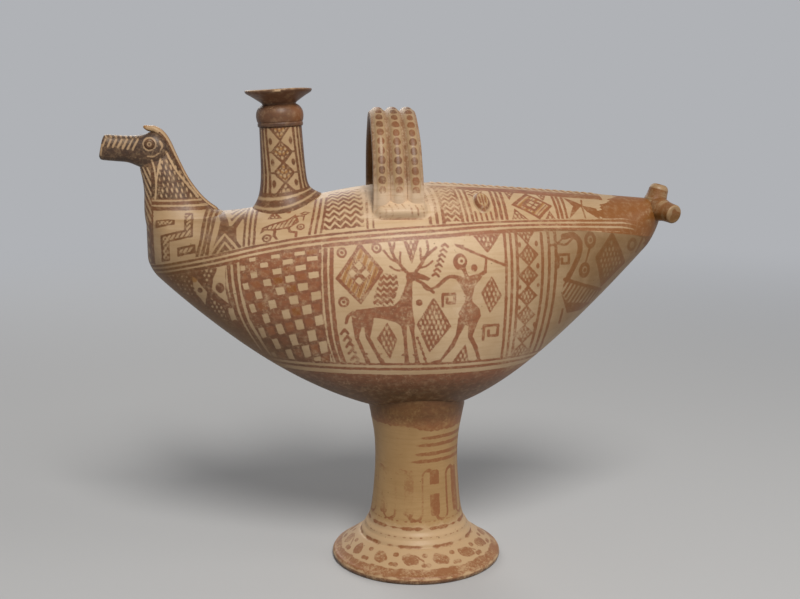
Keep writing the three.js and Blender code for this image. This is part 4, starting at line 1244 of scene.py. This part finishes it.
def spout_lip():
    under = bent_line([(9.6, 55.2), (10, 56.6), (12.4, 58.4), (15.6, 60.6), (18.2, 62.2), (19, 63)], 40)
    edge = bent_line([(19, 63), (19.2, 63.6), (19, 64.2), (18.4, 64.4)], 10)
    funnel = bent_line([(18.4, 64.4), (14, 62), (10, 59), (SPOUT_BORE, 55.2)], 30)
    rings, angle = lathe(np.concatenate([under, edge[1:], funnel[1:], [(9.6, 55.2)]]), 240)
    reach = np.hypot(rings[..., 0], rings[..., 1])
    rings[..., 2] += smooth(reach, 12, 19) * (0.2 * np.sin(angle * 2 + 1) + 0.12 * np.sin(angle * 3))
    across = np.abs((angle + 0.05 + np.pi) % (2 * np.pi) - np.pi)
    ragged = 0.15 + 0.03 * np.sin(rings[..., 2] * 5) + 0.02 * np.sin(angle * 60)
    chip = smooth(ragged - across, 0, 0.06) * smooth(reach, 18.3, 18.9) * smooth(rings[..., 2], 62.8, 63.5)
    rings[..., 2] -= 0.4 * chip
    canvas = Canvas(angle, rings[..., 2])
    canvas.ink = 2.2 * chip - 1.2
    canvas.wear = 0.05 + 0.55 * smooth(rings[..., 2], 63.2, 64.2)
    canvas.tone += 0.1
    add_piece("spout_lip", lean(rings), "brown_slip", canvas.layers())


def open_pouring_hole():
    """Bores the shoulder under the spout, so that one can look down into the vessel."""
    rings = lathe([(0, -16), (SPOUT_BORE, -16), (SPOUT_BORE, 9), (0, 9)], 64)[0]
    mesh = mesh_of("bore", lean(rings))[0]
    weld(mesh)
    bore = add_object("bore", mesh)
    cut = shoulder.modifiers.new("pouring_hole", "BOOLEAN")
    cut.operation = "DIFFERENCE"
    cut.solver = "EXACT"
    cut.object = bore
    finished = shoulder.evaluated_get(bpy.context.evaluated_depsgraph_get())
    shoulder.data = bpy.data.meshes.new_from_object(finished)
    shoulder.modifiers.clear()
    bpy.data.objects.remove(bore)


spout_neck()
spout_collar()
spout_lip()
open_pouring_hole()


# Basket handle

PAD_PLACE = body_point(HANDLE_X, PAD_ANGLE)


def handle_coil(name, shift):
    """One coil over the back; the shift says which of the three it is."""
    turn = np.linspace(0, np.pi, 230)[:, None]
    around = np.linspace(0, 2 * np.pi, 72, endpoint=False)[None, :]
    top = float(ridge_at(np.array(HANDLE_X))) + HANDLE_RISE
    base = PAD_PLACE[2] - 3
    spread = shift * (COIL_PITCH + 0.9 * np.cos(turn) ** 2)
    centre_x = HANDLE_X + spread - 1.1 * np.cos(turn) - 1.2 * np.sin(turn) ** 2
    line = np.concatenate([PAD_PLACE[1] * np.cos(turn), base + (top - base) * np.sin(turn)], 1)
    length = np.concatenate([[0], np.cumsum(np.linalg.norm(np.diff(line, axis=0), axis=1))])
    step = np.gradient(line, axis=0)
    step /= np.linalg.norm(step, axis=1, keepdims=True)
    out = np.stack([-step[:, 1], step[:, 0]], 1)
    across, up = oval(around, 2.3)
    near = np.minimum(length, length[-1] - length)[:, None]
    flare = smooth(-near, -11, -2)
    thick = (COIL_HALF_THICK - 1.4 * flare) * up
    wide = COIL_HALF_WIDE + 0.5 * flare + 1.0 * smooth(-up, -0.68, -0.35)
    rings = np.stack(np.broadcast_arrays(centre_x + wide * across, line[:, :1] + out[:, :1] * thick,
                                         line[:, 1:] + out[:, 1:] * thick), -1)
    uneven = waviness(rings, size=16, depth=0.14, seed=20 + shift)[..., None]
    rings = rings + uneven * (0.6, 0.4, 0.4)
    from_crest = 4.3 * np.abs((around - np.pi / 2 + np.pi) % (2 * np.pi) - np.pi)
    canvas = Canvas(near, from_crest)
    paint_coil(canvas, shift, length[-1] / 2)
    add_piece(name, closed_ends(rings), "cream_slip", canvas.layers(closed=True))


def paint_coil(canvas, shift, middle):
    """A row of dots on the crest and dark grooves, both worn off at the pads, the grooves partly painted
    shade between the coils; the inner side of the arch is painted deep brown as painted shade.
    """
    near, from_crest = canvas.u, canvas.v
    place = near + 0.4 * shift
    number = np.floor(place / COIL_DOT_PITCH)
    spot = np.abs(place % COIL_DOT_PITCH - COIL_DOT_PITCH / 2)
    marks = (np.hypot(spot / 2.2, from_crest / (2.2 + 0.3 * np.sin(number * 2.9 + shift))) - 1) * 1.9
    split = (shift < 0) & (number > 5) & (number < 8)
    marks = np.where(split, np.maximum(marks, 0.55 - from_crest), marks)
    canvas.draw_where(marks, (near > 12) & (near < middle - 1))
    canvas.draw_where(3.9 - from_crest, near > 16)
    # Painted shade on the inner side of the arch: solid, deep paint with grime; the rest of the coil has
    # grime with painted shade
    canvas.ink = np.where(from_crest > 7.8, SOLID, canvas.ink)
    worn_end, inner_side = smooth(-near, -24, -8), smooth(from_crest, 7.4, 8.4)
    canvas.wear = 0.25 + 0.42 * smooth(from_crest, 3, 4) - 0.4 * inner_side + 0.5 * worn_end
    canvas.tone = 0.9 * inner_side + (0.3 * np.sin(number * 5.3 + shift) + 0.2) * (from_crest < 3)
    canvas.grime_and_shade = 0.48 - 0.42 * worn_end + 0.4 * inner_side


def on_body(x, angle, height):
    """Points at a height over the skin of the body."""
    return body_point(x, angle) + body_normal(x, angle) * np.asarray(height)[..., None]


def boss(name, x0, angle0, half_x, half_round, profile, power, paint_it):
    """A low clay form pressed on the shoulder; the profile gives share of the reach and height."""
    turn = np.linspace(0, 2 * np.pi, 96, endpoint=False)[None, :]
    across, up = oval(turn, power)
    reach, height = profile[:, :1], profile[:, 1:]
    above, half = body_measures(np.array(x0))[1], body_measures(np.array(x0))[3]
    per_angle = math.hypot(half * math.cos(angle0), above * math.sin(angle0))
    x = x0 + half_x * reach * across
    angle = angle0 + np.sign(angle0) * half_round / per_angle * reach * up
    rings = on_body(x, angle, np.broadcast_to(height, x.shape))
    canvas = Canvas(half_x * reach * across, half_round * reach * up)
    paint_it(canvas)
    add_piece(name, rings, "cream_slip", canvas.layers())


def boss_profile(shares, known_shares, known_heights):
    """Share of the reach and height, closed under the skin."""
    heights = np.interp(shares, known_shares, known_heights)
    return np.concatenate([np.stack([shares, heights], 1), [(shares[-1], -1.5), (0, -1.5)]])


def paint_pad(canvas):
    # A brown line along the lower edge, partly paint and partly painted shadow under the pad
    canvas.draw(stroke([(-16, 7.0), (16, 7.0)], 0.9))
    for step in range(8):
        place = -12.4 + 3.5 * step
        canvas.draw(curve([(place - 1.3, 0.5), (place, 3.0), (place + 0.4, 5.6)], 0.9))
    canvas.wear += 0.3


def paint_lug(canvas):
    canvas.ink = 4 * np.abs(np.hypot(canvas.u / 3.9, canvas.v / 7.6) - 0.95) - 0.75
    for place in (-1.5, 0.2, 1.8):
        canvas.draw(stroke([(place, -4 + abs(place)), (place * 0.8, 4.4 - abs(place))], 0.9))
    canvas.wash(hatching(90, 1.9, 0.8).within(lozenge(0, 0, 4.4, 8.4)))
    canvas.grime_and_shade += 0.2
    canvas.wear += 0.1


pad_shares = np.concatenate([np.linspace(0, 1.0, 14), [1.05, 1.1, 1.16]])
pad_profile = boss_profile(pad_shares, [0, 0.5, 0.75, 0.88, 0.96, 1.0, 1.05, 1.16],
                           [5.0, 4.9, 4.5, 3.6, 2.4, 1.2, 0.4, 0])
lug_shares = np.concatenate([np.linspace(0, 0.5, 8), np.linspace(0.55, 0.95, 14), [1.05, 1.2]])
lug_profile = boss_profile(lug_shares, [0, 0.4, 0.5, 0.66, 0.76, 0.86, 0.95, 1.05, 1.2],
                           [1.9, 1.9, 2.0, 2.2, 2.2, 1.8, 1.0, 0.4, 0.0])
for side, sign in (("left", 1), ("right", -1)):
    boss("handle_pad_" + side, HANDLE_X, sign * PAD_ANGLE, PAD_HALF_X, PAD_HALF_ROUND, pad_profile,
         power=4.0, paint_it=paint_pad)
    boss("side_lug_" + side, LUG_X, sign * LUG_ANGLE, LUG_HALF_X, LUG_HALF_ROUND, lug_profile,
         power=2.0, paint_it=paint_lug)
handle_coil("handle_coil_front", -1)
handle_coil("handle_coil_middle", 0)
handle_coil("handle_coil_rear", 1)


# Tail pegs

def tail_peg(name, length, height, splay, turn, leave, domed):
    """A clay peg from the tail; the splay, in degrees, is measured from the long axis, the turn about it."""
    splay = math.radians(splay)
    run = np.concatenate([np.linspace(0, length - domed, 60),
                          length - domed + domed * np.sin(np.linspace(0.1, np.pi / 2, 14))])
    radius = PEG_RADIUS - 0.2 * smooth(run, leave, length)
    radius -= domed * (1 - end_share(length - run, domed))
    radius += 1.0 * np.exp(-np.maximum(run - leave, 0) / 2.6)
    cap = radius[-1] * np.linspace(0.85, 0.05, 6)
    radius, run = np.concatenate([radius, cap]), np.concatenate([run, np.full(len(cap), length)])
    rings, angle = lathe(np.stack([radius, run], 1), 72)
    x, y, z = rings[..., 0], rings[..., 1], rings[..., 2]
    forward = x * math.sin(splay) + z * math.cos(splay)
    raised = -x * math.cos(splay) + z * math.sin(splay)
    places = np.stack([PEG_X + forward, y * math.cos(turn) - raised * math.sin(turn),
                       height + y * math.sin(turn) + raised * math.cos(turn)], -1)
    canvas = Canvas(run[:, None], angle)
    canvas.ink = 0.9 * np.sin(angle * 2 + 0.8) * np.sin(canvas.u * 0.7) - 0.5
    for place in (leave + 2.4, leave + 3.8, leave + 5.2):
        canvas.draw_where(np.abs(canvas.u - place) - 0.1)
    blotch = np.hypot(x - 0.4, y + 0.5) - 3.4 + 0.9 * np.sin(angle * 3 + 0.6)
    canvas.ink = np.where(canvas.u > length - domed + 0.4, blotch, canvas.ink)
    canvas.tone -= 0.7
    canvas.wear += 0.15
    # Grime with painted shade, darker on the underside of the peg
    canvas.grime_and_shade = 0.6 + 0.4 * smooth(height - places[..., 2], 1, 5)
    add_piece(name, closed_ends(places), "cream_slip", canvas.layers(closed=True))


tail_peg("tail_peg_top", length=17, height=210.5, splay=75, turn=0, leave=7.5, domed=3.4)
for side, turn in (("left", PEG_TURN), ("right", -PEG_TURN)):
    tail_peg("tail_peg_" + side, length=19.5, height=213.5, splay=67, turn=turn, leave=8.5, domed=1.1)


# Pedestal foot

def pedestal_foot():
    cone = bent_line([(51.5, 3.2), (50.6, 4.6), (48.4, 5.8), (42, 10.4), (36, 14.6), (34.4, 15.4)], 70)
    steps = [(34.1, 15.7), (33.9, 16.6), (33.2, 18), (32.2, 18.8), (31.6, 19.6), (31.4, 21), (30.6, 22.4),
             (29.6, 23.2), (29.4, 24.4), (28.9, 25.8)]
    stem = bent_line([(28.9, 25.8), (27.6, 31), (26.3, 42), (25.1, 60), (25.6, 76), (28, 90), (29.2, 96)], 90)
    inside = bent_line([(22.5, 108), (19, 70), (19.5, 44), (24, 26), (34, 10), (42.5, 0)], 30)
    rim = [(42.5, 0), (50.2, 0), (51.2, 0.8), (51.6, 2)]
    profile = np.concatenate([rim, cone, steps, stem[1:], [(29.2, 108)], inside])
    rings, angle = lathe(profile, 320)
    highest = bottom_of_body(rings[..., 0], rings[..., 1]) + 1.0
    rings[..., 2] = np.minimum(rings[..., 2], highest)
    outside = (np.arange(len(profile)) < len(profile) - len(inside))[:, None]
    swell = waviness(rings, size=40, depth=0.18, seed=31)
    rings[..., 0] += swell * np.sin(angle) * outside
    rings[..., 1] -= swell * np.cos(angle) * outside
    canvas = Canvas(np.degrees(angle), np.broadcast_to(profile[:, 1:], angle.shape))
    paint_foot(canvas, np.broadcast_to(profile[:, :1], angle.shape))
    for layer in (canvas.ink, canvas.ochre):
        layer[~np.broadcast_to(outside, layer.shape)] = FAR
    add_piece("pedestal_foot", rings, "foot_clay", canvas.layers())


def paint_tongues(degrees, height):
    """Running loops round the stem: a broad bar down, a bend, a thin line up and an arch to the next bar."""
    pitch = 36
    number = np.floor((degrees + 7.3) / pitch)
    best = np.full(degrees.shape, FAR)
    for shift in (-1, 0, 1):
        run = ((degrees + 7.3) % pitch - 8 + pitch * shift) * np.pi / 180 * STEM_RADIUS
        beside = np.maximum(np.abs(run - 7.7) - 1.2, 0)
        beyond = np.maximum(np.abs(height - 46.5) - 12.2, 0)
        bar = np.hypot(beside, beyond) - 1.7
        gap = np.where((number - shift) % 2 == 0, 3 - np.abs(height - 48.8), -FAR)
        thin = np.maximum(np.abs(run) - 0.7, np.abs(height - 45.6) - 11)
        arch = np.maximum(np.abs(np.hypot(run - 3.85, height - 56.6) - 3.85) - 0.9, 56.6 - height)
        bend = np.maximum(np.abs(np.hypot(run - 11.9, height - 34.6) - 4.2) - 0.7, height - 34.6)
        best = np.minimum.reduce([best, np.maximum(bar, gap), thin, arch, bend])
    return best


def paint_foot(canvas, reach):
    degrees, height = canvas.u, canvas.v
    turn = np.radians(degrees)
    low = height < 15.5
    pitch = 360 / FOOT_MARKS
    index = np.floor(degrees / pitch)
    across = (degrees % pitch - pitch / 2) * np.pi / 180 * FOOT_MARKS_RADIUS
    out = FOOT_MARKS_RADIUS - reach
    jitter = np.sin(index * 7.3) * 0.8
    uneven = 0.5 * np.sin(turn * 13 + 1) + 0.4 * np.sin(turn * 29) + 0.35 * np.sin(turn * 47 + out)
    slanted = out - 0.4 * jitter + 0.16 * across
    blob = (np.hypot(across / (4.8 + jitter), slanted / 2.8) - 1) * 3 + 0.6 * uneven
    beside = np.abs(across) - 8.8
    upper, lower = np.hypot(beside, (out - 2.4) / 0.8), np.hypot(beside + 0.8, (out + 3) / 0.8)
    small = np.minimum(upper, lower) - 1.5
    link = np.maximum(np.abs(out - 2.4 * np.sin(across * 0.3 + 1)) - 0.5, np.abs(across - 4) - 6)
    link = np.where(index % 3 == 1, link, FAR)
    canvas.draw_where(np.minimum.reduce([blob, small, link]), low)
    band = np.abs(reach - 48.7) - 2.6 + 0.45 * uneven
    canvas.draw_where(band, low & (height > 3))
    dashes = 0.7 * np.sin(turn * 9 + 1) + 0.5 * np.sin(turn * 23)
    short = 0.7 * np.sin(turn * 38) + 0.6 * np.sin(turn * 61 + 1)
    for place, width, broken in ((16.2, 1.3, dashes), (20.8, 0.2, short), (25.6, 1.6, dashes),
                                 (29.6, 0.2, short)):
        line = np.abs(height - place) - width / 2 + 0.7 * np.maximum(broken, -0.4)
        canvas.draw_where(line, height > 15)
    right = smooth(np.sin(turn + 0.25), 0.0, 0.35)
    for step, place in enumerate((66.5, 70.9, 76.5, 81.1)):
        sag = place - 1.2 * (1 - np.cos(turn - 0.7)) + 0.12 * uneven
        thin = 1.15 * smooth(np.sin(turn + 0.34 - 0.06 * step), 0.0, 0.3) - 0.05
        canvas.draw_where(np.abs(height - sag) - thin, height > 40)
    canvas.draw_where(88.2 - 2.8 * right + 0.5 * uneven - height, height > 60)
    tongues = paint_tongues(degrees, height) + 0.35 * uneven
    canvas.draw_where(tongues, (height > 29) & (height < 63))
    facing = np.cos(turn - math.radians(75))
    by_loops = smooth(height, 30, 38) * smooth(-height, -64, -58)
    canvas.wear = 0.3 + 0.65 * by_loops * smooth(-facing, -0.6, 0.1)
    canvas.wear = np.where(low, 0.48, canvas.wear + (0.1 - 0.25 * right) * smooth(height, 80, 86))
    canvas.ochre = np.where(low, -1.0, 0.8 * (height - 27) / 5)
    # Painted shadow of the hull: deep paint and grime at the top of the stem, less on the right; round the
    # rim's bottom edge a dark line, partly paint and partly painted shade
    canvas.tone = 1.1 * smooth(height, 86, 96) - 0.3 + 1.2 * smooth(-height, -3.4, -2.2)
    canvas.ink = np.where(height < 2.6, -1.0, canvas.ink)
    canvas.grime_and_shade = 0.5 * smooth(height, 84, 97) * (1 - 0.4 * right) + 0.1 * smooth(height, 30, 50)


pedestal_foot()

# Floor, light and camera

BACKDROP, FLOOR_COLOUR = linear(176, 178, 182), linear(194, 195, 197)


def seen_ray(tree):
    """One for rays of the camera, of mirroring and of clear things, zero for light on the object."""
    rays = tree.nodes.new("ShaderNodeLightPath")
    total = rays.outputs["Is Camera Ray"]
    for other in ("Is Glossy Ray", "Is Transmission Ray"):
        either = tree.nodes.new("ShaderNodeMath")
        either.operation = "MAXIMUM"
        tree.links.new(total, either.inputs[0])
        tree.links.new(rays.outputs[other], either.inputs[1])
        total = either.outputs[0]
    return total


def mix_backdrop(tree, kind, shader, share, output):
    """Shows the plain backdrop in place of a shader, by a share."""
    backdrop = tree.nodes.new(kind)
    backdrop.inputs["Color"].default_value = BACKDROP
    either = tree.nodes.new("ShaderNodeMixShader")
    tree.links.new(share, either.inputs["Fac"])
    tree.links.new(shader.outputs[0], either.inputs[1])
    tree.links.new(backdrop.outputs[0], either.inputs[2])
    tree.links.new(either.outputs[0], tree.nodes[output].inputs["Surface"])


def stage():
    """A wide floor that fades into the backdrop, and a weak even sky."""
    size = 60.0
    mesh = bpy.data.meshes.new("floor")
    corners = [(-size, -size, 0), (size, -size, 0), (size, size, 0), (-size, size, 0)]
    mesh.from_pydata(corners, [], [(0, 1, 2, 3)])
    floor = add_object("floor", mesh)
    material = bpy.data.materials.new("floor_paper")
    nodes = Nodes(material)
    nodes.shader.inputs["Base Color"].default_value = FLOOR_COLOUR
    nodes.shader.inputs["Roughness"].default_value = 0.9
    far = nodes.add("ShaderNodeVectorMath", operation="LENGTH")
    nodes.put(far.inputs[0], nodes.place)
    distant = nodes.math("MULTIPLY", nodes.ramp(far.outputs["Value"], 0.25, 1.6), seen_ray(nodes.tree))
    mix_backdrop(nodes.tree, "ShaderNodeEmission", nodes.shader, distant, "Material Output")
    mesh.materials.append(material)
    world = bpy.data.worlds.new("studio")
    bpy.context.scene.world = world
    world.use_nodes = True
    tree = world.node_tree
    sky = tree.nodes["Background"]
    sky.inputs["Color"].default_value = (0.95, 0.97, 1.0, 1)
    sky.inputs["Strength"].default_value = 0.14
    mix_backdrop(tree, "ShaderNodeBackground", sky, seen_ray(tree), "World Output")


def lamp(name, place, size, power, colour=LAMP_COLOUR):
    light = bpy.data.lights.new(name, "AREA")
    light.shape = "DISK"
    light.size = size
    light.energy = power
    light.color = colour
    holder = add_object(name, light)
    holder.location = place
    holder.rotation_euler = (Vector(LAMP_AIM) - Vector(place)).to_track_quat("-Z", "Y").to_euler()


stage()
lamp("key", (0.1, -1.15, 1.45), size=0.7, power=24.5)
lamp("side", (1.2, -0.5, 0.8), size=0.7, power=2.5, colour=(1.0, 0.96, 0.9))
lamp("behind", (-0.3, 1.5, 0.95), size=1.0, power=7.0)

camera = bpy.data.cameras.new("camera")
camera.lens = CAMERA_LENS
camera.sensor_width = 36
camera.sensor_fit = "HORIZONTAL"
holder = add_object("camera", camera)
holder.location = CAMERA_PLACE
holder.rotation_euler = CAMERA_TURN
bpy.context.scene.camera = holder
bpy.context.scene.view_settings.view_transform = "Standard"
